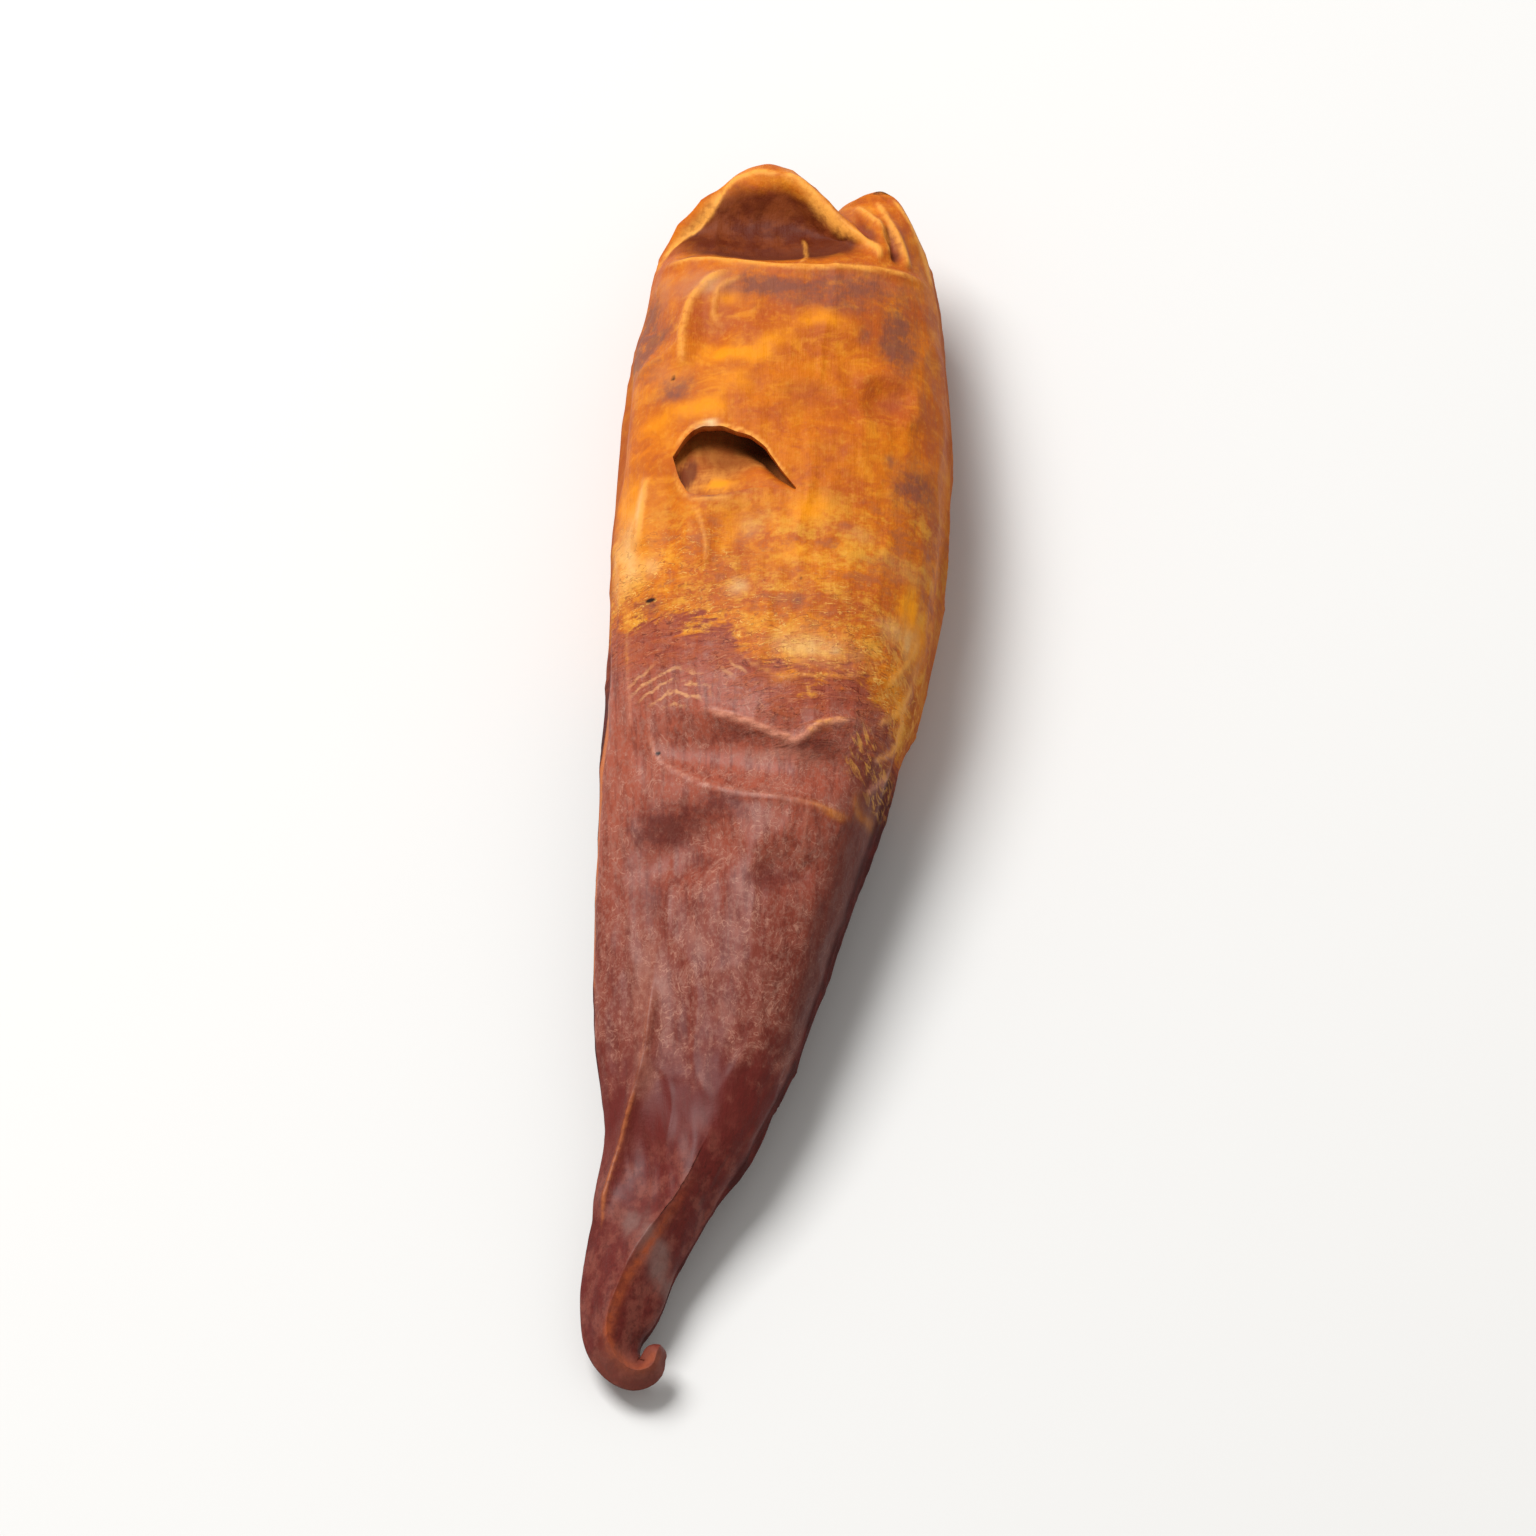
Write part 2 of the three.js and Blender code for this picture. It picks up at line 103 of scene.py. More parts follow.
# Folds that stand up from the upper skin: name, rise, width, how brightly the crest is painted, partly as
# wear and partly as a painted highlight, and the path.
CREASES = [
    ("shoulder crease", 0.55, 0.28, 0.9, [(-7.4, 32), (-3, 31.3), (1.5, 30.3), (6, 30.2), (11.5, 30.5)]),
    (
        *("flap of the rim", 0.55, 0.3, 1.0),
        [(0.4, 38.2), (2, 37.4), (3.5, 35.8), (5.4, 33.8), (7, 32.4), (7.4, 31)],
    ),
    ("outer pleat", 0.6, 0.35, 0.8, [(5.5, 37.2), (6.9, 35), (7.8, 33.4), (7.9, 31.6)]),
    ("horn's fold", 0.5, 0.28, 0.8, [(6.9, 37.4), (7.9, 34.8), (8.7, 32.8), (9.2, 30.8)]),
    ("right edge of the horn", 0.15, 0.2, 0.9, [(7.9, 37.4), (9.2, 35.4), (10.2, 33), (10.9, 30.4)]),
    ("left shoulder fold", 0.6, 0.45, 0.7, [(-2.2, 30.6), (-4.4, 28.5), (-5.2, 26), (-5.3, 22.6)]),
    ("second left fold", 0.3, 0.35, 0.5, [(-1.2, 29.8), (-2.9, 28.8), (-3.4, 27), (-2.6, 25.6)]),
    (
        *("upper edge of the trough", 0.75, 0.27, 0.85),
        [(-4.8, -0.8), (-1.8, -2.1), (0.9, -3.4), (2.1, -3.7), (3.7, -2.7), (6.4, -2.2)],
    ),
    (
        *("lower edge of the trough", 0.4, 0.22, 0.4),
        [(-7.6, 0.2), (-7.2, -3.4), (-5.5, -5.1), (-3, -6.6), (0.7, -7.7), (6.6, -8.8)],
    ),
    ("left ridge", 0.7, 0.55, 0.25, [(-7, -17.5), (-7.6, -23.5), (-8.7, -27.5), (-9.6, -31), (-10.5, -34.4)]),
    (
        *("worn foot of the left ridge", 0.15, 0.12, 0.65),
        [(-7.9, -25), (-9, -28.8), (-9.6, -31), (-10.6, -35.5)],
    ),
    (
        *("edge of the rim", 0.25, 0.22, 1.0),
        [(-7.9, 30.6), (-6.7, 33.9), (-5.4, 35.3), (-3.9, 36.8), (-2.4, 38), (-0.4, 38.4), (1.8, 37.7)],
    ),
    ("fold in the shoulder hollow", 0.35, 0.18, 0.6, [(2.2, 34.2), (2.5, 32.8), (2.5, 31.6), (2.1, 30.2)]),
    ("bulge by the left fold", 0.25, 0.25, 0.4, [(-5.3, 25), (-7, 24.6), (-8.6, 23.6)]),
    ("fold under the tear", 0.3, 0.25, 0.5, [(-4.9, 13.2), (-4.2, 11.9), (-3.8, 10), (-3.9, 8.5)]),
    ("left streak", 0.25, 0.3, 0.7, [(-7.5, 16.1), (-7.9, 13.6), (-8.2, 10.9)]),
    ("left line", 0.12, 0.2, 0.4, [(-8.8, 7.5), (-8.9, 3.4), (-8.6, -2.2)]),
    ("ridge over the trough", 0.25, 0.2, 0.5, [(-1.9, 2.2), (0.7, 0.6), (2.6, 0.5), (4.8, 0.5), (6.8, 1.1)]),
    ("first streak on the right", 0.18, 0.2, 0.8, [(9.8, 4.6), (8.9, 2.4), (7.4, 0.2)]),
    ("second streak on the right", 0.18, 0.2, 0.7, [(9.5, 1.9), (8.4, -0.6), (6.9, -2.2)]),
    ("third streak on the right", 0.18, 0.2, 0.7, [(9.1, -0.4), (8, -3), (6.6, -4.6)]),
    ("fourth streak on the right", 0.15, 0.2, 0.5, [(8.3, -3.2), (7.3, -5.2), (6.3, -6.6)]),
    ("upright fold below the trough", 0.15, 0.25, 0.3, [(2.6, -7.9), (2.4, -10.5), (2.2, -12.6)]),
    ("lip of the tear", 0.12, 0.16, 0.9, [(x - 0.1, y + 0.2) for x, y in TEAR_LIP]),
    ("edge of the flap", 0.1, 0.16, 0.6, [(x - 0.1, y - 0.25) for x, y in TEAR_FLAP[:5]]),
    ("crease under the dimple", 0.2, 0.3, 0.2, [(-1.5, -12.4), (0.6, -11.2), (3.4, -11.4)]),
    (
        *("swirl on the right", 0.35, 0.4, 0.25),
        [(5.4, 21.4), (7.4, 22.4), (9.3, 21.6), (9.6, 19.6), (8.4, 18.6)],
    ),
    ("slant below the swirl", 0.2, 0.5, 0.15, [(-0.8, 21.4), (2.6, 21.8), (5.4, 20.4), (7, 17.6)]),
]
CREST_ROUNDING = 0.14
FOLD_TAPER = 0.15  # the share of its length over which a fold rises and sinks again

# Hollows where the skin has sunk as it dried: x, y, half lengths along x and y, turn in degrees, depth.
DENTS = [
    ("shoulder hollow", 0.2, 34.5, 6.6, 2.8, -5, 2.3),
    ("hollow above the tear", 4.5, 21.5, 4.2, 3.2, 20, 0.6),
    ("trough", -0.6, -4.6, 6.2, 2.0, -14, 1.1),
    ("left dimple", -5.2, -10.3, 3.0, 2.2, 10, 0.8),
    ("right dimple", 1.3, -12.2, 2.2, 1.5, 0, 0.7),
    ("tip hollow", -7.6, -31.5, 1.6, 3.4, 20, 0.4),
    ("valley between the pleats", 6.3, 34.2, 0.5, 1.9, 28, 0.5),
    ("crevice by the horn", 8.1, 33, 0.4, 1.6, 14, 0.7),
    ("left of the shoulder fold", -7.2, 27.2, 1.1, 3.4, 10, 0.5),
    ("right of the shoulder fold", -3.4, 25.6, 1.2, 2.2, -10, 0.35),
    ("hollow in the swirl", 7.8, 20.4, 1.5, 1.2, 30, 0.5),
    ("left of the tear's fold", -6.4, 11.8, 1.0, 3.0, 0, 0.4),
    ("right of the tear's fold", -1.6, 10.8, 1.8, 1.6, 0, 0.3),
    ("right end of the trough", 4.6, -5.2, 1.8, 1.0, 0, 0.4),
]
DENT_EDGE = 3
RIM_FLAP = [(1.4, 38.1), (7.2, 32.7)]  # the flap that closes the hollow of the shoulder on the right

# How deep the tear is, and how far it goes on under the lip.
TEAR = {"depth": 2.6, "undercut": 1.6, "skin": 0.3, "headroom": 2.0, "steps": 90, "jag": 0.12}
TEAR_STEP = 0.1
TEAR_JAG_WAVES = 13
TEAR_DEEPENS = {"left": 0.55, "from": 0.2, "to": 0.7}

# The torn flap slopes evenly on the left, and on the right it runs on level to drop into a dark gap.
FLAP_FALL = {"left": 1.3, "right": 3.2, "from": 0.35, "to": 0.75, "steps": 15}
FLAP_SWELL = {"rise": 0.12, "waves": 17, "turn": 4}
UNDERCUT_BACK = 0.15

# The crumpled skin: facets between thin folds, from points strewn over the pod.
CRUMPLE = {
    "points": 130,
    "seed": 20,
    "rise": 0.85,
    "width": 0.6,
    "stretch": 0.5,
    "level": 0.85,
    "on_top": 0.12,
}
CRUMPLE_FADES = {"hook_y": -41, "body_y": -30, "flat_z": 0.2, "flank_z": 1.8}
CRUMPLED_TILT = (-0.05, -0.6)
CRUMPLE_VARIES = {"share": 0.5, "across": 0.25, "along": 0.12, "seed": 61}
CRUMPLE_WANDER = {"reach": 1.2, "per_mm": 0.2}  # how far the folds stray from straight lines, and how often

# Wrinkles all over the skin: height, then cycles per millimetre across and along the pod, and a seed.
SWELLS = (0.35, 0.13, 0.07, 71)
WRINKLES = (0.28, 0.4, 0.07, 83)
WRINKLE_WANDER = {"reach": 1.0, "per_mm": 0.1}
WRINKLED_TILT = (0.7, 0.1)
CRINKLE = (0.07, 1.2, 0.5, 97)
CRINKLED_TILT = (0.1, 0.5)

# Where the sun has bleached the skin: the y that it reaches down to, at each x.
BLEACH_X = (-11, -8, -3.4, 0, 2.6, 5.6, 7.5, 9.5, 12)
BLEACH_Y = (6.2, 5.6, 4.4, 1.2, 0.2, 0.8, -1.4, -5, -8)

# Spots on the upper face: x, y, half lengths across and along, turn in degrees, strength.
BRUISES = [
    (4.5, 28.6, 5.2, 1.5, -3, 0.85),
    (3.2, 27.6, 4.6, 0.9, -6, 0.7),
    (-7.0, 26.6, 1.0, 2.4, 8, 0.8),
    (-8.6, 27.4, 1.3, 4.0, 10, 1.4),
    (0.2, 28.9, 2.6, 1.0, -4, 1.2),
    (5.6, 28.4, 1.6, 1.2, 0, 0.7),
    (8.6, 25.6, 1.1, 3.2, 4, 1.0),
    (6.4, 25.6, 0.8, 1.2, 0, 0.6),
    (-7.8, 27.8, 0.9, 2.8, 12, 1.4),
    (-5.9, 21.9, 1.5, 0.9, 10, 0.8),
    (-7.3, 24.2, 1.2, 0.6, 0, 0.7),
    (-5.0, 32.2, 0.9, 0.4, 15, 0.8),
    (9.4, 14.4, 1.5, 1.8, 0, 0.8),
    (7.9, 16.0, 0.9, 0.5, 0, 0.6),
    (7.2, 8.6, 1.5, 0.7, 0, 0.5),
    (-7.3, 6.9, 0.9, 0.6, 0, 0.8),
    (2.0, 6.0, 0.7, 0.9, 0, 0.5),
    (-3.0, 14.0, 1.6, 0.6, 0, 0.7),
]
RUSTY = [
    (4.9, 35.6, 1.0, 1.0, -40, 1.0),
    (6.3, 34.2, 0.45, 2.0, 28, 1.0),
    (8.2, 33.6, 0.35, 1.8, 14, 1.0),
    (1.5, 28.4, 8.0, 1.5, -2, 0.6),
    (8.0, 20.3, 1.6, 1.2, 30, 0.9),
    (2.6, 20.6, 2.4, 1.4, 20, 0.5),
    (4.6, 16.4, 2.4, 1.6, 0, 0.4),
    (-3.4, 26.4, 1.4, 1.6, 0, 0.5),
    (4.0, 27.2, 3.0, 1.2, 0, 0.5),
    (-1.4, 9.6, 1.8, 1.0, 0, 0.6),
    (5.0, 5.4, 2.6, 0.7, 4, 0.6),
    (-9.0, 20.0, 0.8, 3.0, 0, 0.5),
]
SUNNY = [
    (-6.6, 19.6, 1.6, 0.8, 20, 0.6),
    (-8.2, 11.6, 1.6, 4.2, 4, 0.7),
    (-1.4, 24.2, 3.6, 0.9, 12, 1.0),
    (3.4, 25.8, 2.4, 0.8, 4, 0.8),
    (-4.4, 20.0, 2.2, 0.9, -14, 0.9),
    (-2.0, 21.6, 1.8, 1.2, 0, 0.6),
    (-2.4, 28.0, 0.8, 0.6, 0, 0.7),
    (-8.6, 14.0, 1.0, 3.4, 0, 0.8),
    (-9.2, 9.8, 0.9, 2.4, 0, 0.9),
    (2.9, 12.0, 1.6, 1.0, -30, 0.9),
    (1.0, 8.6, 1.6, 1.0, 0, 0.5),
    (-2.5, 10.6, 0.8, 2.4, 0, 0.5),
    (9.4, 5.0, 0.9, 2.6, 8, 1.0),
    (8.7, -0.4, 0.8, 2.4, 12, 0.8),
    (1.4, 0.1, 1.2, 0.6, 0, 0.6),
    (6.2, -7.6, 0.45, 0.9, 10, 0.5),
    (3.6, -8.2, 2.0, 0.35, -8, 0.5),
]
PALE = [
    (3.2, 2.7, 3.2, 1.1, -4, 0.7),
    (-8.9, 10.6, 1.1, 3.2, 0, 0.7),
    (-1.0, 11.4, 1.2, 1.0, 0, 0.4),
    (8.0, 4.2, 1.2, 0.8, 0, 0.5),
    (1.9, 2.6, 1.0, 0.8, 0, 0.7),
    (4.7, 2.5, 0.5, 0.5, 0, 1.0),
    (-8.1, 13.4, 0.4, 2.4, 0, 0.9),
    (-7.7, 9.2, 0.7, 1.2, 0, 0.6),
    (-2.1, 6.8, 0.5, 0.6, 0, 0.7),
    (9.1, 3.8, 0.5, 1.2, 0, 0.8),
    (-4.4, 18.5, 0.5, 0.25, -20, 1.0),
    (-3.8, 29.2, 0.8, 0.9, 0, 0.5),
]
# Darker red painted as shade in the dimples and along the trough.
PAINTED_SHADE_IN_DIMPLES = [
    (-6.6, -8.4, 2.4, 1.6, 10, 1.0),
    (-2.9, -7.9, 2.6, 0.9, -8, 0.9),
    (0.6, -12.8, 2.0, 1.1, 0, 0.9),
    (-7.4, -13.2, 1.2, 1.6, 10, 0.6),
    (-4.4, -11.2, 1.3, 1.0, 0, 0.7),
    (2.4, -4.2, 1.6, 0.5, 0, 0.9),
    (-2.4, -3.0, 2.6, 0.5, -12, 0.6),
]
ROSY = [
    (-3.8, 29.6, 2.6, 1.5, 0, 1.2),
    (-6.4, 29.8, 1.2, 1.6, 0, 1.0),
    (7.2, 29.2, 2.6, 0.8, 0, 0.6),
    (-6.6, 22.6, 1.4, 1.4, 0, 0.7),
    (8.8, 8.6, 1.4, 1.2, 0, 0.7),
    (6.0, 10.4, 2.0, 0.7, 0, 0.6),
    (3.6, 1.2, 3.4, 0.7, 0, 0.8),
]
TANNED = [
    (-7.5, -18.6, 1.0, 3.4, 4, 0.9),
    (-7.9, -24.4, 0.6, 2.8, 14, 0.8),
    (-4.6, -16.8, 1.2, 1.4, 0, 0.5),
    (-0.6, -19.4, 1.8, 1.2, 0, 0.4),
    (1.2, -4.6, 3.6, 0.6, -10, 1.0),
]
# A painted sheen on the facets beside the crown fold near the tip.
PAINTED_SHEEN_ON_TIP = [
    (-6.6, -37.6, 0.9, 3.2, 22, 1.0),
    (-8.6, -34.8, 0.8, 1.2, 24, 0.9),
]
CURL = [(-3.5, 18.6, 0.4, 0.2, -10, 1.0)]
# A painted pool of light on the torn flap, and a painted shade at its left.
LIT_FLAP = [(-3.2, 14.4, 1.2, 0.5, 0, 1.0)]
SHADED_FLAP = [(-5.2, 15.6, 0.7, 1.4, -15, 1.0)]
DARK_DOTS = [
    (-5.9, 22.5, 0.28, 0.22, 0, 1.0),
    (-7.4, 7.0, 0.5, 0.22, 0, 0.9),
    (-7.0, -3.4, 0.22, 0.3, 0, 0.8),
    (2.2, 7.2, 0.25, 0.35, 0, 0.6),
]
FRAYED = [
    (8.6, 1.0, 1.7, 3.8, 14, 1.0),
    (6.9, -4.8, 1.1, 2.4, 14, 0.8),
]
RINGS = [
    (-6.2, 0.9, 2.6, 1.3, -20, 1.0),
    (-1.9, 1.4, 1.4, 1.0, 0, 0.5),
]
RINGS_ROUND = (-6.6, -2.8, 11.0)  # the place that the arcs at the left run round
SPOT_WANDER = {"reach": 0.8, "per_mm": 0.45}
WANDER_SEEDS = (5, 17, 29)

# Where the finish follows the shape. A tilt is the part of a normal that points up, or right on the turned
# side, and a pair runs from where an effect is absent to where it is full.
UPPER_TILT = (0.05, 0.4)
FLAP_EDGE = (0.1, -0.9)
FRAYED_TILT = (-0.2, 0.2)
# Painted shade on the flank of the red part that is turned to the right.
FLANK_SHADE = {"tilt": (0.45, 0.75), "top_y": (1, -6), "foot_y": (-26, -20)}
# The thin left edge is painted brighter, partly as wear and partly as a painted highlight.
LEFT_EDGE = {"tilt": 0.3, "width": 0.14, "foot_y": (-22, -14), "top_y": (4, -2)}
WORN_CROWN = {"start": 0.25, "end": 0.4, "height": (2.0, 3.0), "begins": (0, 0.35)}
CREST_WEAR_AND_HIGHLIGHT = {"share": 0.6, "least": 0.08}  # the width of the crest's bright line, worn and painted as a highlight, as a share of the fold's and at least
SCAR_SPREAD = 1.3

# Screen colours of the finish.
TONES = {
    "dusky red": "7a3426", "rosy red": "a04e38", "red at the tip": "65201a", "dark streaks": "5b1f17",
    "frost": "a06252", "fine frost": "a06e5e", "specks": "b98a74", "pale curls": "bd8570",
    "shaded flank": "561e16", "mottled tip": "8a4a3c", "dark grain of the tip": "4a150f",
    "deep red": "420c07", "back red": "5c160e", "burnt orange": "b85816", "orange": "d06e0e",
    "amber": "e28c1e", "brick": "b04f20", "russet grain": "a24c20", "straw grain": "e29a3c",
    "gold": "e6a638", "brown": "a05a38", "underside": "9c4a16", "dark rust": "8f3a22", "rust": "ac552e",
    "dark hollow": "571c0a", "brown hollow": "773616", "mauve foot": "5c2a20", "frayed gold": "e6a34a",
    "pale arcs": "dea06a", "arc in the red": "c07a58", "arc in the orange": "ecb75c",
    "groove in the red": "5a1f18", "groove in the orange": "8c4420", "rosy crest": "e0967a",
    "brown crest": "bd6a3a", "orange crest": "f0a244", "worn left edge with painted highlight": "c4692e",
    "red facet edge": "8e3a28", "orange facet edge": "dc9040", "end of the hook": "844a3a",
    "dark dots": "2b130d", "torn curl": "f2d9a4", "stem scar": "a5774a", "torn tan": "a4511c",
    "pale torn tan": "cf8238", "lit flap": "ee9418", "painted brown shade inside": "8a4a1e", "painted dark shade inside": "38190b",
    "shaded flap": "6a2c14", "floor": "e7e6e4", "worn crown": "a04a28", "rusty": "a04a28",
    "rosy": "b8704c", "sunny": "f09206", "bruise": "7a4a3e", "pale": "e6bd80", "sunk": "5e231c",
    "painted_sheen": "86645c", "tanned": "a8705e",
}

# How each kind of spot lies on the skin: its edge, and how strongly its tone covers.
SPOT_FINISH = [
    ("rusty", "soft", 0.75),
    ("rosy", "soft", 0.65),
    ("sunny", "soft", 0.85),
    ("bruise", "ragged", 0.8),
    ("pale", "soft", 0.7),
    ("sunk", "ragged", 0.8),
    ("painted_sheen", "soft", 0.8),
    ("tanned", "soft", 0.4),
]
SPOT_FADE = (0.0, 1.1)

# Noise in the finish: cycles per millimetre along x, y and z, a seed, and what differs from plain noise.
PLAIN_GRAIN = {"Scale": 1.0, "Detail": 4, "Roughness": 0.6, "Distortion": 0.0}
GRAINS = {
    "broad red": ((0.16, 0.11, 0.16), 3, {}),
    "red streaks": ((2.4, 0.25, 2.4), 5, {}),
    "red mottle": ((0.8, 0.6, 0.8), 11, {}),
    "frost": ((3.2, 2.2, 3.2), 17, {"Roughness": 0.75}),
    "curls": ((0.9, 0.7, 0.9), 91, {"Detail": 2, "Distortion": 1.6}),
    "broad orange": ((0.2, 0.28, 0.2), 19, {}),
    "orange mottle": ((0.55, 0.8, 0.55), 13, {"Distortion": 0.6}),
    "orange grain": ((2.6, 2.2, 2.6), 37, {"Roughness": 0.7}),
    "gold": ((0.42, 0.6, 0.42), 101, {"Roughness": 0.75}),
    "mottle": ((0.45, 0.6, 0.45), 41, {}),
    "fine": ((1.8, 1.8, 1.8), 23, {}),
    "grain": ((4.0, 3.0, 4.0), 29, {"Roughness": 0.7}),
    "arcs": ((0.45, 1.6, 0.45), 31, {"Detail": 2, "Distortion": 1.6}),
    "slanted streaks": ((3.4, 0.55, 1.4), 67, {"Distortion": 0.8}),
    "grooves": ((0.5, 1.3, 0.5), 71, {"Detail": 2, "Distortion": 1.6}),
    "lengthwise": ((3.0, 0.3, 3.0), 53, {}),
    "torn grain": ((1.3, 0.7, 1.0), 7, {}),
    "torn bands": ((0.5, 2.6, 0.5), 9, {}),
}
VEINS = {"curls": 0.025, "arcs": 0.02, "grooves": 0.03}  # how far from its middle noise still draws a line
SPECKS = {"per_mm": 2.1, "fade": (0.16, 0.04)}
STREAKS_SLANT = -28
RING_WAVES = {"Scale": 0.42, "Distortion": 5.0, "Detail": 3.0, "Detail Scale": 1.8}

# Zones of the finish: the y where each begins and where it is full.
ZONES = {
    "frosted": (-27, -21),
    "rosy": (-20, -2),
    "tip": (-27, -32),
    "golden": (16, 10),
    "below the rim": (34, 31),
    "shoulder": (29.5, 31.0),
    "foot of the hollow": (33.8, 32.4),
    "brown crests": (-16, -24),
    "end of the hook": (-42.4, -43.6),
}

# How far above the edge of the bleaching, in millimetres, each effect begins and is full.
BLEACHING = {
    "rusted": (-4.5, 0.0),
    "bleached": (-0.5, 1.0),
    "edge begins": (-7.0, -1.0),
    "edge ends": (10.0, 3.0),
}

SKIN_BUMP = {"Strength": 0.5, "Distance": 0.25 * MM}
TORN_BUMP = {"Strength": 0.4, "Distance": 0.2 * MM}

# How fine the mesh is, and how finely the pod is measured.
AROUND = 240
TOP_DENSITY = 1.8  # how much closer the columns stand on the upper face
BODY_ROWS = 310
SHOULDER_ROWS = 70
TIP_ROWS = 12
ROWS_TO_HOOK = 0.35
SLOPE_STEPS = {"turn": 0.01, "size": 0.01, "along": 0.001}
SPINE_SAMPLES = 201
CROWN_SAMPLES = 2001
TURN_SAMPLES = 4001
COLUMN_SECTION = 0.4  # the t of the section that the columns are spaced on
LINES_PER_POINT = 12

LENS = {"length": 600, "distance": 1.632, "elevation": 62, "aim_height": 0.006}
SOFTBOX = {"place": (-0.3, 0.3, 0.65), "size": 0.4, "power": 6.3}
STUDIO_GLOW = {"colour": (1.0, 0.99, 0.97, 1.0), "strength": 0.4}
FLOOR_SIZE = 3.0


def mix(a, b, share):
    return a + (b - a) * share


def smooth(value, low, high):
    share = np.clip((value - low) / (high - low), 0, 1)
    return share * share * (3 - 2 * share)


def curve_through(points, closed=False):
    """A smooth curve through points, as a function of t from 0 to 1."""
    points = np.asarray(points, float)
    if closed:
        held = np.vstack([points[-1], points, points[0], points[1]])
    else:
        held = np.vstack([2 * points[0] - points[1], points, 2 * points[-1] - points[-2]])
    spans = len(held) - 3

    def at(t):
        place = np.clip(np.asarray(t, float), 0, 1) * spans
        i = np.minimum(place.astype(int), spans - 1)
        w = (place - i)[..., None]
        before, start, stop, after = (held[i + k] for k in range(4))
        leave = (stop - before) / 2
        arrive = (after - start) / 2
        bend = 3 * (stop - start) - 2 * leave - arrive
        return start + w * (leave + w * (bend + w * (2 * (start - stop) + leave + arrive)))

    return at


spine = curve_through([s[:2] for s in SECTIONS])
girth = curve_through([s[2:] for s in SECTIONS])
rim = curve_through([[reach] for reach in RIM], closed=True)


def spine_tangent(t):
    step = 0.0001
    along = spine(np.minimum(t + step, 1)) - spine(np.maximum(t - step, 0))
    return along / np.linalg.norm(along, axis=-1, keepdims=True)


def even_t(share):
    """The t at a share of the pod's length."""
    samples = np.linspace(0, 1, SPINE_SAMPLES)
    steps = np.linalg.norm(np.diff(spine(samples), axis=0), axis=1)
    lengths = np.concatenate([[0], np.cumsum(steps)])
    return np.interp(share * lengths[-1], lengths, samples)


def fullness_at(across, up, y):
    """The share of a section's height above or below its waist, at a place across it from -1 to 1."""
    to_shoulder = smooth(y, THIN_EDGE["tip_y"], THIN_EDGE["shoulder_y"])
    thin = mix(THIN_EDGE["tip"], THIN_EDGE["shoulder"], to_shoulder)
    rounded = np.abs(up) ** SQUARENESS * mix(1 - thin, 1, smooth(across, -1, THIN_EDGE["across"]))
    to_right = smooth(y, CROWN_FOLD["left_y"], CROWN_FOLD["right_y"])
    ridge = mix(CROWN_FOLD["left"], CROWN_FOLD["right"], to_right)
    tent = np.where(across < ridge, (across + 1) / (ridge + 1), (1 - across) / (1 - ridge))
    sharp = CROWN_FOLD["sharpness"] * smooth(y, CROWN_FOLD["start_y"], CROWN_FOLD["full_y"])
    return np.where(up > 0, mix(rounded, tent, sharp), rounded)


def plain_skin(t, phi, size):
    """Points on the plain skin: t runs along the pod, phi round it, and size from its middle to the skin."""
    t, phi, size = np.broadcast_arrays(np.asarray(t, float), phi, size)
    middle = spine(t)
    tangent = spine_tangent(t)
    half, crown, belly = np.moveaxis(girth(t), -1, 0)
    waist = mix(belly, crown, WAIST)
    across = np.sign(np.cos(phi)) * np.abs(np.cos(phi)) ** SQUARENESS
    up = np.sin(phi)
    height = np.where(up > 0, crown - waist, belly - waist) * fullness_at(across, up, middle[..., 1])
    x = middle[..., 0] - tangent[..., 1] * across * half * size
    y = middle[..., 1] + tangent[..., 0] * across * half * size
    reach = rim(np.mod(np.arctan2(up, across) / (2 * math.pi), 1))[..., 0]
    reach = mix(STEM_SCAR["reach"], reach, smooth(size, RIM_BEGINS, RIM_FULL))
    shoulder = reach * np.sqrt(1 - size**RIM_ROUNDNESS)
    shoulder = shoulder - STEM_SCAR["depth"] * np.exp(-((size / STEM_SCAR["radius"]) ** 2))
    y = y + np.where(t == 0, shoulder, 0)
    return np.stack([x, y, waist + height * size], axis=-1)


def skin_rows():
    """t, size and lean of each row of the mesh, from the stem's pit to the end of the hook."""
    turn = np.linspace(0, math.pi / 2, SHOULDER_ROWS + 1)[1:-1]
    rows = [(0.0, math.sin(a), 0.0) for a in turn]
    for share in np.linspace(0, 1, BODY_ROWS + 1):
        rows.append((mix(even_t(share), share, ROWS_TO_HOOK), 1.0, 0.0))
    turn = np.linspace(0, math.pi / 2, TIP_ROWS + 1)[1:-1]
    rows += [(1.0, math.cos(a), math.sin(a) * SECTIONS[-1][2]) for a in turn]
    return np.array(rows)


def column_turns():
    """The turn of each column round the pod: evenly spaced over the skin, and closer on the upper face."""
    turns = np.linspace(0, 2 * math.pi, TURN_SAMPLES)
    section = plain_skin(COLUMN_SECTION, turns, 1.0)
    steps = np.linalg.norm(np.diff(section, axis=0), axis=1)
    steps *= np.where(turns[1:] < math.pi, TOP_DENSITY, 1)
    lengths = np.concatenate([[0], np.cumsum(steps)])
    return np.interp(np.arange(AROUND) / AROUND * lengths[-1], lengths, turns)


def row_points(rows, phi):
    t, size, lean = (rows[:, k, None] for k in range(3))
    points = plain_skin(t, phi, size)
    points[..., :2] += spine_tangent(t) * lean[..., None]
    return points


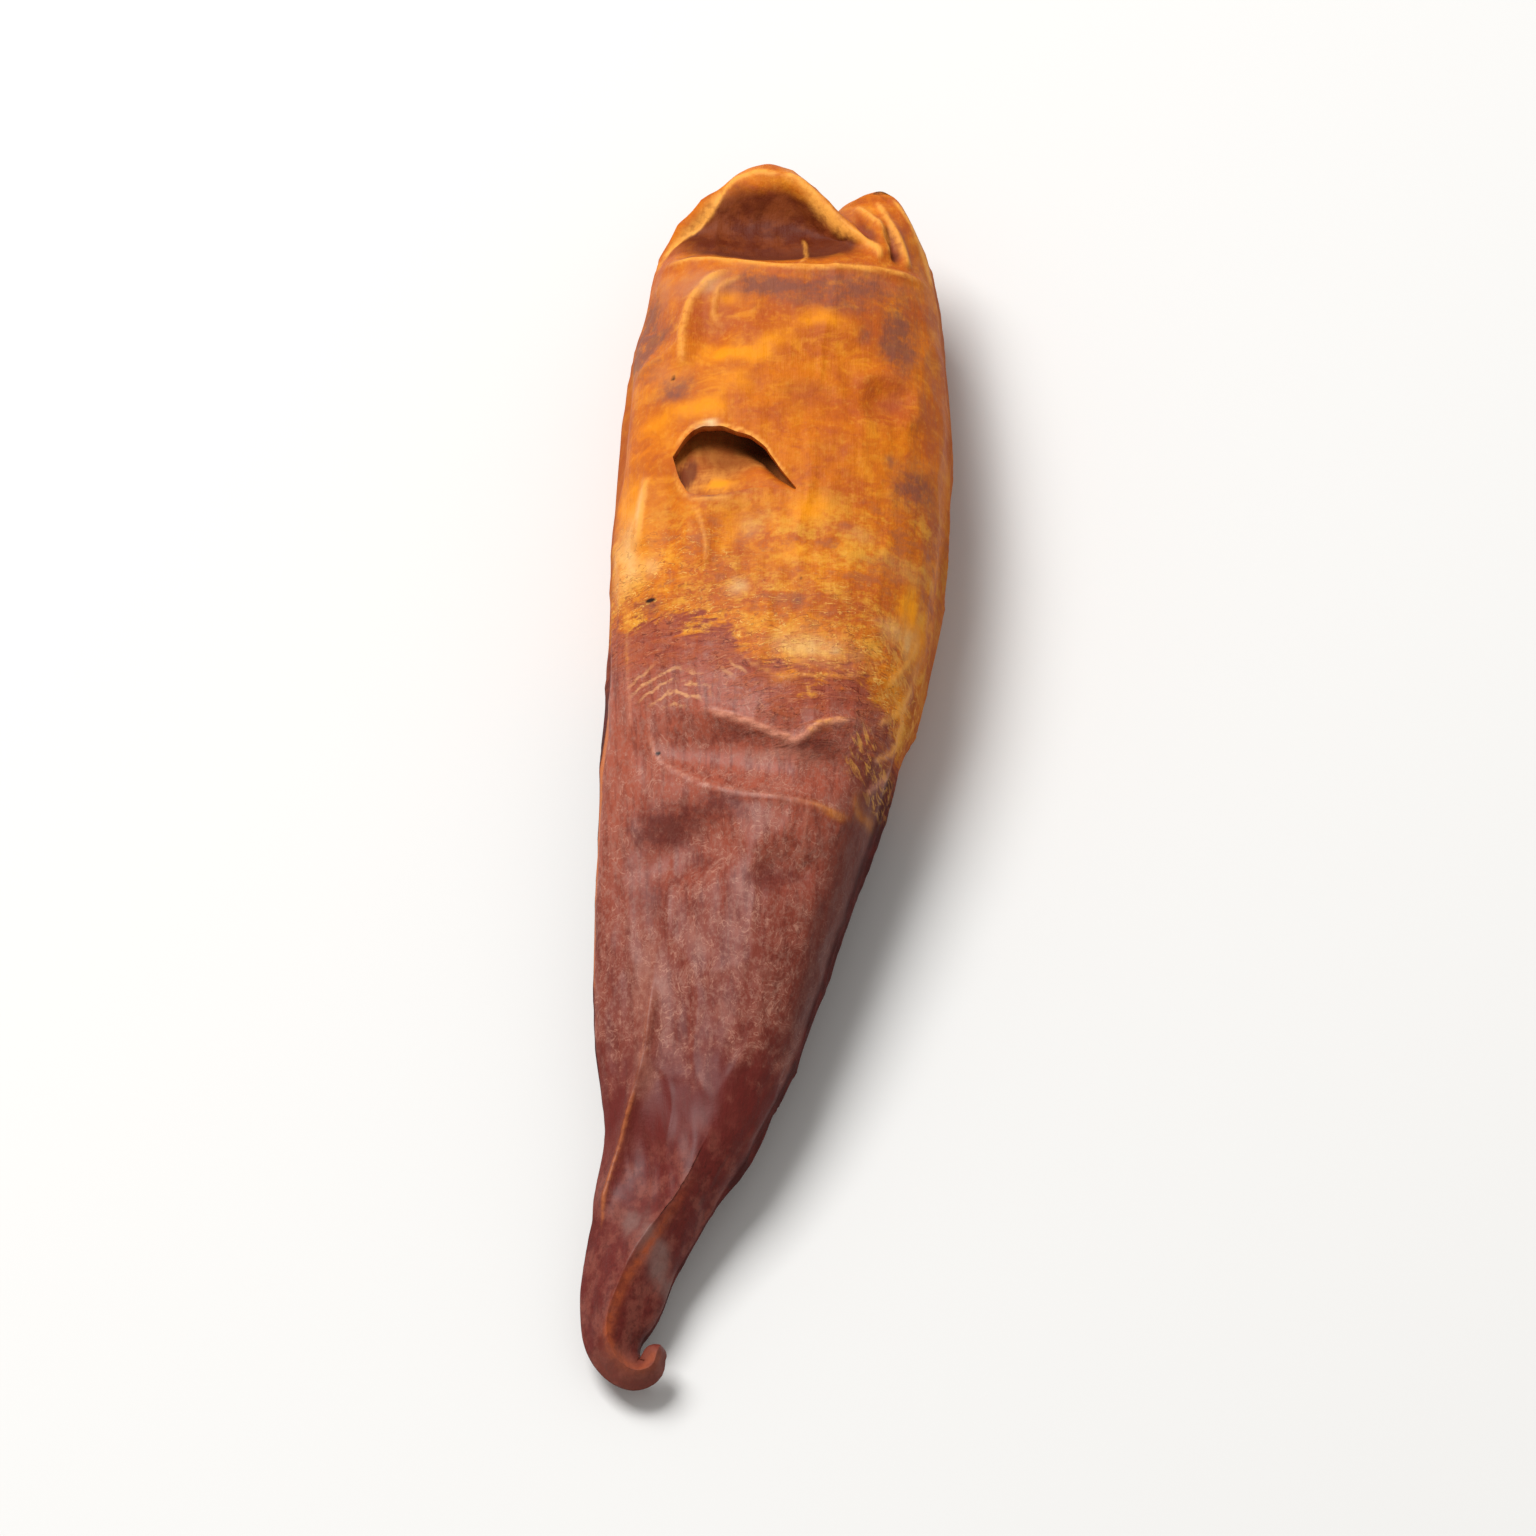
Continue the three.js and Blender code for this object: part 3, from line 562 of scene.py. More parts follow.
def skin_normals(rows, phi):
    """The plain skin's outward directions, from its slopes round and along the pod."""
    around = row_points(rows, phi + SLOPE_STEPS["turn"]) - row_points(rows, phi - SLOPE_STEPS["turn"])
    over = (rows[:, 0] == 0) & (rows[:, 1] < 1)
    sides = []
    for side in (-1, 1):
        beside = rows.copy()
        beside[over, 1] = np.clip(rows[over, 1] + side * SLOPE_STEPS["size"], 0, 1)
        beside[~over, 0] = np.clip(rows[~over, 0] + side * SLOPE_STEPS["along"], 0, 1)
        sides.append(row_points(beside, phi))
    normal = np.cross(around, sides[1] - sides[0])
    return normal / np.linalg.norm(normal, axis=-1, keepdims=True)


def crest(distance, width):
    return np.exp(-np.hypot(distance, CREST_ROUNDING) / width)


def nearest_on(path, points):
    """Distance in plan from each point to a smooth path, and which share of the path is passed there."""
    line = curve_through(path)(np.linspace(0, 1, LINES_PER_POINT * len(path)))
    nearest = np.full(len(points), np.inf)
    passed = np.zeros(len(points))
    for i, (start, stop) in enumerate(zip(line[:-1], line[1:])):
        way = stop - start
        share = np.clip((points[:, :2] - start) @ way / (way @ way), 0, 1)
        distance = np.linalg.norm(points[:, :2] - start - share[:, None] * way, axis=1)
        passed = np.where(distance < nearest, (i + share) / (len(line) - 1), passed)
        nearest = np.minimum(distance, nearest)
    return nearest, passed


def wavy(points, across, along, seed):
    """Smooth noise over the skin, from about -1 to 1, with its cycles per millimetre across and along it."""
    places = points * (across, along, across) + seed
    return np.array([noise.noise(place) for place in places])


def strayed(points, reach, per_mm):
    """The points moved about smoothly, for outlines that wander."""
    return points + reach * np.stack([wavy(points, per_mm, per_mm, seed) for seed in WANDER_SEEDS], axis=-1)


def patch(points, x, y, across, along, turn, edge):
    """1 inside a turned oval and 0 well outside it, seen from above."""
    turn = math.radians(turn)
    dx = points[:, 0] - x
    dy = points[:, 1] - y
    r = np.hypot(
        (dx * math.cos(turn) + dy * math.sin(turn)) / across,
        (dy * math.cos(turn) - dx * math.sin(turn)) / along,
    )
    return np.exp(-(r**edge))


def before_flap(points):
    """1 in the shoulder up to the flap of the rim, and 0 beyond it."""
    start, stop = np.array(RIM_FLAP)
    way = (stop - start) / np.linalg.norm(stop - start)
    beyond = (points[:, :2] - start) @ (-way[1], way[0])
    return smooth(beyond, *FLAP_EDGE)


def spotted(points, spots):
    """How strongly the spots of one kind colour each point."""
    strongest = np.zeros(len(points))
    for x, y, across, along, turn, strength in spots:
        strongest = np.maximum(strongest, strength * patch(points, x, y, across, along, turn, 2))
    return strongest


def strewn_points(count, seed):
    """Points strewn over the skin by a seeded generator."""
    draws = []
    state = seed
    for _ in range(2 * count):
        state = (state * 1664525 + 1013904223) % 2**32
        draws.append(state / 2**32)
    draws = np.array(draws).reshape(count, 2)
    return plain_skin(even_t(draws[:, 0]), draws[:, 1] * 2 * math.pi, 1.0)


def facet_edges(points, seeds, stretch):
    """How far each point is from the edge between its two nearest facets."""
    scale = np.array([1, stretch, 1])
    tree = kdtree.KDTree(len(seeds))
    for i, seed in enumerate(seeds * scale):
        tree.insert(seed, i)
    tree.balance()
    found = (tree.find_n(point, 2) for point in points * scale)
    return np.array([second[2] - first[2] for first, second in found])


def crumple(points, normals):
    """How far the crumpled facets stand out of the skin at each point, and where their edges are."""
    fades = CRUMPLE_FADES
    rough = mix(CRUMPLE["on_top"], 1, smooth(normals[:, 2], *CRUMPLED_TILT))
    rough = rough * smooth(points[:, 1], fades["hook_y"], fades["body_y"])
    rough = rough * smooth(points[:, 2], fades["flat_z"], fades["flank_z"])
    varied = wavy(points, CRUMPLE_VARIES["across"], CRUMPLE_VARIES["along"], CRUMPLE_VARIES["seed"])
    rough = rough * (1 + CRUMPLE_VARIES["share"] * varied)
    bent = strayed(points, **CRUMPLE_WANDER)
    edges = facet_edges(bent, strewn_points(CRUMPLE["points"], CRUMPLE["seed"]), CRUMPLE["stretch"])
    ridge = crest(edges, CRUMPLE["width"])
    return rough * CRUMPLE["rise"] * (ridge - CRUMPLE["level"]), ridge * np.minimum(rough, 1)


def wrinkles(points, normals):
    """The small wrinkles: lengthwise ones on the flanks and the back, and a swell and a crinkle all over."""
    body = smooth(points[:, 1], CRUMPLE_FADES["hook_y"], CRUMPLE_FADES["body_y"])
    side = smooth(normals[:, 2], *WRINKLED_TILT)
    rise, *waves = SWELLS
    out = body * rise * wavy(points, *waves)
    rise, *waves = WRINKLES
    ridged = 1 - 2 * np.abs(wavy(strayed(points, **WRINKLE_WANDER), *waves))
    out += body * side * rise * (ridged - 0.5)
    rise, *waves = CRINKLE
    return out + rise * wavy(points, *waves) * smooth(normals[:, 2], *CRINKLED_TILT)


def shape_skin():
    """The dried skin's points in rows, and what its finish needs to know at each of them."""
    rows = skin_rows()
    phi = column_turns()
    plain = row_points(rows, phi).reshape(-1, 3)
    normals = skin_normals(rows, phi).reshape(-1, 3)
    above = smooth(normals[:, 2], *UPPER_TILT)

    worn = np.zeros(len(plain))
    out = np.zeros(len(plain))
    for _, rise, width, crest_brightness, path in CREASES:
        distance, passed = nearest_on(path, plain)
        tapered = above * smooth(passed, 0, FOLD_TAPER) * smooth(passed, 1, 1 - FOLD_TAPER)
        out += rise * tapered * crest(distance, width)
        # The bright line on each crest: partly wear, partly a painted highlight.
        line = CREST_WEAR_AND_HIGHLIGHT["share"] * width + CREST_WEAR_AND_HIGHLIGHT["least"]
        worn = np.maximum(worn, crest_brightness * tapered * np.exp(-((distance / line) ** 2)))
    hollow = np.zeros(len(plain))
    for name, x, y, across, along, turn, depth in DENTS:
        sunk = above * patch(plain, x, y, across, along, turn, DENT_EDGE)
        if name == "shoulder hollow":
            sunk = sunk * before_flap(plain)
        out -= depth * sunk
        hollow = np.maximum(hollow, sunk * min(depth, 1))
    folded, facet = crumple(plain, normals)
    points = plain + normals * (out + folded + wrinkles(plain, normals))[:, None]
    points[:, 2] = np.maximum(points[:, 2], 0)
    scar = np.where(rows[:, 0] == 0, np.exp(-((rows[:, 1] / (SCAR_SPREAD * STEM_SCAR["radius"])) ** 2)), 0)

    spots = strayed(plain, **SPOT_WANDER)
    facts = {
        "worn": worn,
        "hollow": hollow,
        "facet": facet,
        "scar": np.repeat(scar, AROUND),
        "above": above,
        "bleach": plain[:, 1] - np.interp(plain[:, 0], BLEACH_X, BLEACH_Y),
        "bruise": above * spotted(spots, BRUISES),
        "rusty": above * spotted(spots, RUSTY),
        "sunny": above * spotted(spots, SUNNY),
        "pale": above * spotted(spots, PALE),
        "sunk": above * spotted(spots, PAINTED_SHADE_IN_DIMPLES),
        "painted_sheen": above * spotted(spots, PAINTED_SHEEN_ON_TIP),
        "tanned": above * spotted(spots, TANNED),
        "rosy": above * spotted(spots, ROSY),
        "dot": above * spotted(plain, DARK_DOTS),
        "frayed": spotted(spots, FRAYED) * smooth(normals[:, 2], *FRAYED_TILT),
        "curl": spotted(plain, CURL),
        "rings": spotted(plain, RINGS),
        "turned": painted_flank_shade(plain, normals),
        "lit": spotted(plain, LIT_FLAP),
        "shaded": spotted(plain, SHADED_FLAP),
        "crown_fold": crown_fold_line(plain),
        "left_edge": left_edge_line(plain, normals),
    }
    return points, facts


def painted_flank_shade(points, normals):
    """1 on the flank of the red part that is turned to the right, where a darker painted shade lies."""
    turned = smooth(normals[:, 0], *FLANK_SHADE["tilt"])
    return turned * smooth(points[:, 1], *FLANK_SHADE["top_y"]) * smooth(points[:, 1], *FLANK_SHADE["foot_y"])


def left_edge_line(points, normals):
    """1 on the thin left edge of the red part, which is painted orange: partly wear, partly a painted
    highlight.
    """
    line = np.exp(-(((normals[:, 2] - LEFT_EDGE["tilt"]) / LEFT_EDGE["width"]) ** 2)) * (normals[:, 0] < 0)
    return line * smooth(points[:, 1], *LEFT_EDGE["foot_y"]) * smooth(points[:, 1], *LEFT_EDGE["top_y"])


def crown_fold_line(points):
    """1 on the worn fold along the crown near the tip."""
    distance, passed = nearest_on(CROWN_FOLD_PATH, points)
    line = np.exp(-((distance / mix(WORN_CROWN["start"], WORN_CROWN["end"], passed)) ** 2))
    return line * smooth(points[:, 2], *WORN_CROWN["height"]) * smooth(passed, *WORN_CROWN["begins"])


def closed_skin(points, rows):
    """Quads between the rows, and a fan at each end."""
    count = rows * AROUND
    grid = np.arange(count).reshape(rows, AROUND)
    nxt = np.roll(grid, -1, axis=1)
    quads = np.stack([grid[:-1], nxt[:-1], nxt[1:], grid[1:]], axis=-1).reshape(-1, 4)
    faces = [tuple(q) for q in quads.tolist()]
    pit = count
    end = count + 1
    faces += [(pit, b, a) for a, b in zip(grid[0].tolist(), nxt[0].tolist())]
    faces += [(end, a, b) for a, b in zip(grid[-1].tolist(), nxt[-1].tolist())]
    return faces


def crown_height(x, y):
    """Height of the plain skin over spots on the upper face."""
    t = np.linspace(0, 1, CROWN_SAMPLES)
    at = np.interp(-y, -spine(t)[:, 1], t)
    across = np.clip((x - spine(at)[:, 0]) / girth(at)[:, 0], -1, 1)
    return plain_skin(at, np.arccos(across), 1.0)[:, 2]


def make_mesh(name, points, faces, materials):
    mesh = bpy.data.meshes.new(name)
    mesh.from_pydata((points * MM).tolist(), [], faces)
    for material in materials:
        mesh.materials.append(material)
    piece = bpy.data.objects.new(name, mesh)
    bpy.context.scene.collection.objects.link(piece)
    return piece


def tear_cutter(materials):
    """The wedge that opens the tear, from the flap's edge down under the lip and on beneath the skin."""
    steps = TEAR["steps"]
    share = np.linspace(0, 1, steps + 1)
    lip = curve_through(TEAR_LIP)(share)
    flap = curve_through(TEAR_FLAP)(share)
    jag = np.array([noise.noise((s * TEAR_JAG_WAVES, 3, 7)) for s in share])
    opened = np.sin(math.pi * (share * steps + 0.5) / (steps + 1))
    way = lip - flap
    way /= np.linalg.norm(way, axis=1, keepdims=True)
    lip = lip + way * (jag * TEAR["jag"] * opened)[:, None]
    flap = flap - way * (np.roll(jag, steps // 2) * TEAR["jag"] * opened)[:, None]
    depth = TEAR["depth"] * np.sqrt(opened)
    depth = depth * mix(TEAR_DEEPENS["left"], 1, smooth(share, TEAR_DEEPENS["from"], TEAR_DEEPENS["to"]))
    lip_top = crown_height(lip[:, 0], lip[:, 1])
    flap_top = crown_height(flap[:, 0], flap[:, 1])
    inner = lip + way * (TEAR["undercut"] * opened)[:, None]

    to_right = smooth(share, FLAP_FALL["from"], FLAP_FALL["to"])
    fall = mix(FLAP_FALL["left"], FLAP_FALL["right"], to_right)
    ring = [(flap, flap_top + TEAR["headroom"]), (flap, flap_top - TEAR_STEP)]
    for k in np.linspace(0, 1, FLAP_FALL["steps"] + 1)[1:]:
        waves = np.sin(share * FLAP_SWELL["waves"] + FLAP_SWELL["turn"] * k)
        swell = FLAP_SWELL["rise"] * math.sin(math.pi * k) * waves
        ring.append((mix(flap, lip, k), mix(flap_top - TEAR_STEP, lip_top - depth, k**fall) + swell * opened))
    ring += [
        (inner, lip_top - depth - TEAR_STEP),
        (inner + way * UNDERCUT_BACK, lip_top - mix(TEAR["skin"], depth, 0.5)),
        (inner, lip_top - TEAR["skin"] - UNDERCUT_BACK),
        (lip, lip_top - TEAR["skin"]),
        (lip, lip_top + TEAR["headroom"]),
    ]
    points = np.stack([np.column_stack([xy, z]) for xy, z in ring], axis=1).reshape(-1, 3)
    size = len(ring)
    faces = []
    for i in range(steps):
        for k in range(size):
            nxt = (k + 1) % size
            faces.append((i * size + k, i * size + nxt, (i + 1) * size + nxt, (i + 1) * size + k))
    faces.append(tuple(range(size))[::-1])
    faces.append(tuple(steps * size + k for k in range(size)))
    cutter = make_mesh("tear_cutter", points, faces, materials)
    cutter.data.polygons.foreach_set("material_index", np.full(len(faces), 1, np.int32))
    return cutter


def cut(piece, cutter):
    """Takes the cutter away from the piece and removes it."""
    tool = piece.modifiers.new("tear", "BOOLEAN")
    tool.operation = "DIFFERENCE"
    tool.solver = "MANIFOLD"
    tool.object = cutter
    graph = bpy.context.evaluated_depsgraph_get()
    torn = bpy.data.meshes.new_from_object(piece.evaluated_get(graph))
    piece.modifiers.clear()
    piece.data = torn
    bpy.data.objects.remove(cutter)


def mesh_points(mesh):
    flat = np.empty(len(mesh.vertices) * 3)
    mesh.vertices.foreach_get("co", flat)
    return flat.reshape(-1, 3)


def write_facts(mesh, points, facts):
    """Gives each vertex the facts of the nearest point of the skin, and how deep it lies in the tear."""
    tree = kdtree.KDTree(len(points))
    for i, point in enumerate(points * MM):
        tree.insert(point, i)
    tree.balance()
    places = mesh_points(mesh)
    near = np.array([tree.find(place)[1] for place in places])
    for name, values in facts.items():
        layer = mesh.attributes.new(name, "FLOAT", "POINT")
        layer.data.foreach_set("value", values[near].astype(np.float32))
    layer = mesh.attributes.new("depth", "FLOAT", "POINT")
    depth = crown_height(places[:, 0] / MM, places[:, 1] / MM) - places[:, 2] / MM
    layer.data.foreach_set("value", depth.astype(np.float32))
    layer = mesh.attributes.new("place", "FLOAT_VECTOR", "POINT")
    layer.data.foreach_set("vector", (places / MM).astype(np.float32).ravel())


def mark_torn_edges(mesh):
    """Smooth faces, with a sharp edge where the skin is torn."""
    mesh.polygons.foreach_set("use_smooth", np.ones(len(mesh.polygons), bool))
    kinds = {}
    for face in mesh.polygons:
        for key in face.edge_keys:
            kinds.setdefault(key, set()).add(face.material_index)
    for edge in mesh.edges:
        edge.use_edge_sharp = len(kinds[edge.key]) > 1


class Wire:
    """One output of a shader node. Sums with it add Math nodes."""

    def __init__(self, finish, socket):
        self.finish = finish
        self.socket = socket

    def sum(self, operation, *values):
        return self.finish.node("ShaderNodeMath", {"operation": operation}, dict(enumerate(values)))

    def __add__(self, other):
        return self.sum("ADD", self, other)

    def __radd__(self, other):
        return self.sum("ADD", other, self)

    def __sub__(self, other):
        return self.sum("SUBTRACT", self, other)

    def __rsub__(self, other):
        return self.sum("SUBTRACT", other, self)

    def __mul__(self, other):
        return self.sum("MULTIPLY", self, other)

    def __rmul__(self, other):
        return self.sum("MULTIPLY", other, self)

    def __truediv__(self, other):
        return self.sum("DIVIDE", self, other)

    def __pow__(self, other):
        return self.sum("POWER", self, other)

    def size(self):
        return self.sum("ABSOLUTE", self)


class Finish:
    """A material made of nodes."""

    def __init__(self, name):
        self.material = bpy.data.materials.new(name)
        self.material.use_nodes = True
        self.tree = self.material.node_tree
        self.tree.nodes.clear()

    def node(self, kind, settings=None, inputs=None, output=0):
        made = self.tree.nodes.new(kind)
        for name, value in (settings or {}).items():
            setattr(made, name, value)
        for name, value in (inputs or {}).items():
            if isinstance(value, Wire):
                self.tree.links.new(value.socket, made.inputs[name])
            else:
                made.inputs[name].default_value = value
        return Wire(self, made.outputs[output])

    def fact(self, name):
        return self.node("ShaderNodeAttribute", {"attribute_name": name}, output="Fac")

    def place(self):
        return self.node("ShaderNodeAttribute", {"attribute_name": "place"}, output="Vector")

    def axis(self, place, index):
        return self.node("ShaderNodeSeparateXYZ", {}, {"Vector": place}, output=index)

    def moved(self, place, operation, by):
        return self.node("ShaderNodeVectorMath", {"operation": operation}, {0: place, 1: by})

    def noise(self, place, name):
        """Noise from 0 to 1, as GRAINS gives it under this name."""
        per_mm, seed, looks = GRAINS[name]
        squeezed = self.moved(place, "MULTIPLY", per_mm)
        moved = self.moved(squeezed, "ADD", (seed, 2 * seed, 3 * seed))
        return self.node("ShaderNodeTexNoise", {}, {"Vector": moved, **PLAIN_GRAIN, **looks})

    def veins(self, waves, width):
        """Thin lines where noise passes its middle."""
        return self.ease((waves - 0.5).size(), width, 0.0)

    def spots(self, place, per_mm):
        return self.node("ShaderNodeTexVoronoi", {}, {"Vector": place, "Scale": per_mm}, output="Distance")

    def ease(self, value, low, high, start=0.0, stop=1.0):
        """A smooth way from start to stop as a value goes from low to high."""
        return self.node(
            "ShaderNodeMapRange",
            {"interpolation_type": "SMOOTHSTEP"},
            {"Value": value, "From Min": low, "From Max": high, "To Min": start, "To Max": stop},
        )

    def blend(self, share, base, over):
        """A colour on the way from one to another. Each is a wire or the name of a tone."""
        base, over = (tone(colour) if isinstance(colour, str) else colour for colour in (base, over))
        return self.node("ShaderNodeMix", {"data_type": "RGBA"}, {0: share, 6: base, 7: over}, output=2)

    def finish(self, **sockets):
        inputs = {name.replace("_", " "): value for name, value in sockets.items()}
        shader = self.node("ShaderNodeBsdfPrincipled", {}, inputs)
        output = self.tree.nodes.new("ShaderNodeOutputMaterial")
        self.tree.links.new(shader.socket, output.inputs["Surface"])
        return self.material


def tone(name):
    """The linear colour of a tone, whose screen colour has six digits."""
    code = TONES[name]
    screen = [int(code[i : i + 2], 16) / 255 for i in (0, 2, 4)]
    linear = [c / 12.92 if c <= 0.04045 else ((c + 0.055) / 1.055) ** 2.4 for c in screen]
    return (*linear, 1.0)


def red_flesh(f, place, above):
    """The unbleached skin: rosy and finely streaked on the upper face, and deep red on the flanks and back;
    the lighter upper face is partly a painted sheen, and the darker flanks and back are partly the skin's own
    colour and partly painted shade.
    """
    y = f.axis(place, 1)
    broad = f.noise(place, "broad red")
    streaks = f.noise(place, "red streaks")
    mottle = f.noise(place, "red mottle")
    frost = f.noise(place, "frost")
    specks = f.ease(f.spots(place, SPECKS["per_mm"]), *SPECKS["fade"]) * f.ease(mottle, 0.48, 0.6)
    curls = f.veins(f.noise(place, "curls"), VEINS["curls"]) * f.ease(mottle, 0.42, 0.56)
    upper = f.ease(y + (mottle - 0.5) * 9, *ZONES["frosted"])

    rosy = f.blend(f.ease(y + (broad - 0.5) * 6, *ZONES["rosy"]), "dusky red", "rosy red")
    colour = f.blend(upper, "red at the tip", rosy)
    colour = f.blend(f.ease(streaks, 0.42, 0.66) * 0.55, colour, "dark streaks")
    colour = f.blend(f.ease(mottle, 0.42, 0.74) * upper * 0.5, colour, "frost")
    colour = f.blend(f.ease(frost, 0.44, 0.66) * upper * 0.5, colour, "fine frost")
    colour = f.blend(specks * 0.25 * upper, colour, "specks")
    colour = f.blend(curls * 0.55 * upper, colour, "pale curls")
    # Painted shade on the flank turned to the right.
    colour = f.blend(f.fact("turned") * 0.7, colour, "shaded flank")
    tip_share = f.ease(y, *ZONES["tip"])
    colour = f.blend(f.ease(mottle, 0.42, 0.62) * tip_share * 0.6, colour, "mottled tip")
    colour = f.blend(f.ease(frost, 0.5, 0.4) * tip_share * 0.4, colour, "dark grain of the tip")
    # The upper face is painted lighter and the flanks and back darker: partly the skin's own deep red, partly
    # painted sheen and shade.
    deep = f.blend(f.ease(mottle, 0.4, 0.7), "deep red", "back red")
    return f.blend(f.ease(above, 1.0, 0.35), colour, deep)


def bleached_flesh(f, place, above):
    """The bleached skin: mottled orange, with rusty and yellow areas."""
    broad = f.noise(place, "broad orange")
    mottle = f.noise(place, "orange mottle")
    grain = f.noise(place, "orange grain")
    colour = f.blend(f.ease(broad, 0.35, 0.65), "burnt orange", "orange")
    colour = f.blend(f.ease(mottle, 0.5, 0.7) * 0.6, colour, "amber")
    colour = f.blend(f.ease(mottle, 0.5, 0.32) * 0.6, colour, "brick")
    colour = f.blend(f.ease(grain, 0.5, 0.72) * 0.25, colour, "russet grain")
    colour = f.blend(f.ease(grain, 0.5, 0.3) * 0.25, colour, "straw grain")

    # Towards the red part it is mottled gold and brown.
    y = f.axis(place, 1)
    low = f.ease(y + (mottle - 0.5) * 6, *ZONES["golden"])
    gold = f.noise(place, "gold")
    colour = f.blend(f.ease(gold, 0.46, 0.66) * low * 0.65, colour, "gold")
    colour = f.blend(f.ease(gold, 0.5, 0.34) * low * 0.6, colour, "brown")
    return f.blend(f.ease(above, 0.7, 0.1) * f.ease(y, *ZONES["below the rim"]) * 0.5, colour, "underside")


def dried_skin():
    """Waxy chili skin: deep red, bleached orange round the shoulder, with worn folds, bruises and specks, and
    painted light: highlights on the crests, a sheen near the tip, and shade in the hollows and on the right
    flank.
    """
    f = Finish("dried_skin")
    place = f.place()
    above = f.fact("above")
    worn = f.fact("worn")
    hollow = f.fact("hollow")
    y = f.axis(place, 1)
    mottle = f.noise(place, "mottle")
    fine = f.noise(place, "fine")
    grain = f.noise(place, "grain")
    arcs = f.noise(place, "arcs")

    # The bleaching ends in rust and then in red, with a ragged edge.
    height = f.fact("bleach") + (mottle - 0.5) * 6 + (arcs - 0.5) * 4 + (fine - 0.5) * 3
    rusted = f.ease(height, *BLEACHING["rusted"])
    bleached = f.ease(height, *BLEACHING["bleached"])
    rust = f.blend(f.ease(arcs, 0.35, 0.65), "dark rust", "rust")
    colour = f.blend(rusted * 0.75, red_flesh(f, place, above), rust)
    colour = f.blend(bleached, colour, bleached_flesh(f, place, above))

    # The hollow of the shoulder is painted dark rusty brown, partly its own colour and partly painted shade,
    # and mauve at the foot.
    shoulder = f.ease(y, *ZONES["shoulder"])
    rust_and_shade_in_hollow = f.ease(hollow + (mottle - 0.5) * 0.4, 0.1, 0.5) * shoulder
    foot = f.ease(y + (fine - 0.5) * 2, *ZONES["foot of the hollow"])
    hollow_rust_and_shade = f.blend(f.ease(mottle, 0.4, 0.6), "dark hollow", "brown hollow")
    hollow_rust_and_shade = f.blend(foot * 0.8, hollow_rust_and_shade, "mauve foot")
    colour = f.blend(rust_and_shade_in_hollow * 0.95, colour, hollow_rust_and_shade)

    edges = {
        "soft": 1 + (mottle - 0.5) * 1.6 + (fine - 0.5) * 0.9,
        "ragged": 1 + (mottle - 0.5) * 2.0 + (fine - 0.5) * 1.8 + (grain - 0.5) * 1.4,
    }
    # The sheen spots near the tip are a painted sheen and the sunk spots a painted shade in the dimples; the
    # other spots are the skin's own tones.
    for kind, edge, strength in SPOT_FINISH:
        share = f.ease(f.fact(kind) * edges[edge], *SPOT_FADE)
        colour = f.blend(share * strength, colour, kind)

    # Fine cracks and streaks round the edge of the bleaching.
    slant = (0, 0, math.radians(STREAKS_SLANT))
    slanted = f.node("ShaderNodeMapping", {}, {"Vector": place, "Rotation": slant})
    streaks = f.noise(slanted, "slanted streaks")
    frayed = f.ease(f.fact("frayed"), 0.1, 0.5) * f.ease(streaks, 0.48, 0.64)
    colour = f.blend(frayed * 0.6, colour, "frayed gold")
    rings = f.node(
        "ShaderNodeTexWave",
        {"wave_type": "RINGS", "rings_direction": "SPHERICAL"},
        {"Vector": f.moved(place, "SUBTRACT", RINGS_ROUND), **RING_WAVES},
        output="Fac",
    )
    ringed = f.ease(f.fact("rings"), 0.15, 0.6) * f.ease(rings, 0.6, 1.0) * f.ease(fine, 0.36, 0.56)
    colour = f.blend(ringed * 0.7, colour, "pale arcs")
    in_edge = f.ease(height, *BLEACHING["edge begins"]) * f.ease(height, *BLEACHING["edge ends"]) * above
    arc_tone = f.blend(bleached, "arc in the red", "arc in the orange")
    broken = f.ease(fine, 0.42, 0.55)
    colour = f.blend(f.veins(arcs, VEINS["arcs"]) * in_edge * broken * 0.8, colour, arc_tone)
    grooves = f.noise(place, "grooves")
    groove_tone = f.blend(bleached, "groove in the red", "groove in the orange")
    colour = f.blend(f.veins(grooves, VEINS["grooves"]) * in_edge * broken * 0.7, colour, groove_tone)

    # Crests painted brighter: partly wear, partly a painted highlight.
    broken_wear_and_highlight = worn * f.ease(fine, 0.35, 0.55, 0.7, 1.0)
    crest_wear_and_highlight_tone = f.blend(f.ease(y, *ZONES["brown crests"]), "rosy crest", "brown crest")
    crest_wear_and_highlight_tone = f.blend(rusted, crest_wear_and_highlight_tone, "orange crest")
    colour = f.blend(f.ease(broken_wear_and_highlight + (grain - 0.5) * 0.4, 0.05, 1.0), colour, crest_wear_and_highlight_tone)
    # The left edge: worn orange and a painted highlight.
    left_edge = f.ease(f.fact("left_edge") + (fine - 0.5) * 0.6, 0.2, 0.8)
    colour = f.blend(left_edge * 0.8, colour, "worn left edge with painted highlight")
    colour = f.blend(f.fact("crown_fold") * f.ease(fine, 0.35, 0.6, 0.45), colour, "worn crown")
    # The edges of the crumpled facets are painted lighter: partly thin, worn skin, partly a painted
    # highlight.
    facet_tone = f.blend(bleached, "red facet edge", "orange facet edge")
    colour = f.blend(f.ease(f.fact("facet"), 0.3, 0.9) * 0.3, colour, facet_tone)
    colour = f.blend(f.ease(y, *ZONES["end of the hook"]) * 0.4, colour, "end of the hook")
    colour = f.blend(f.ease(f.fact("dot"), 0.35, 0.7), colour, "dark dots")
    colour = f.blend(f.fact("curl"), colour, "torn curl")
    colour = f.blend(f.fact("scar"), colour, "stem scar")

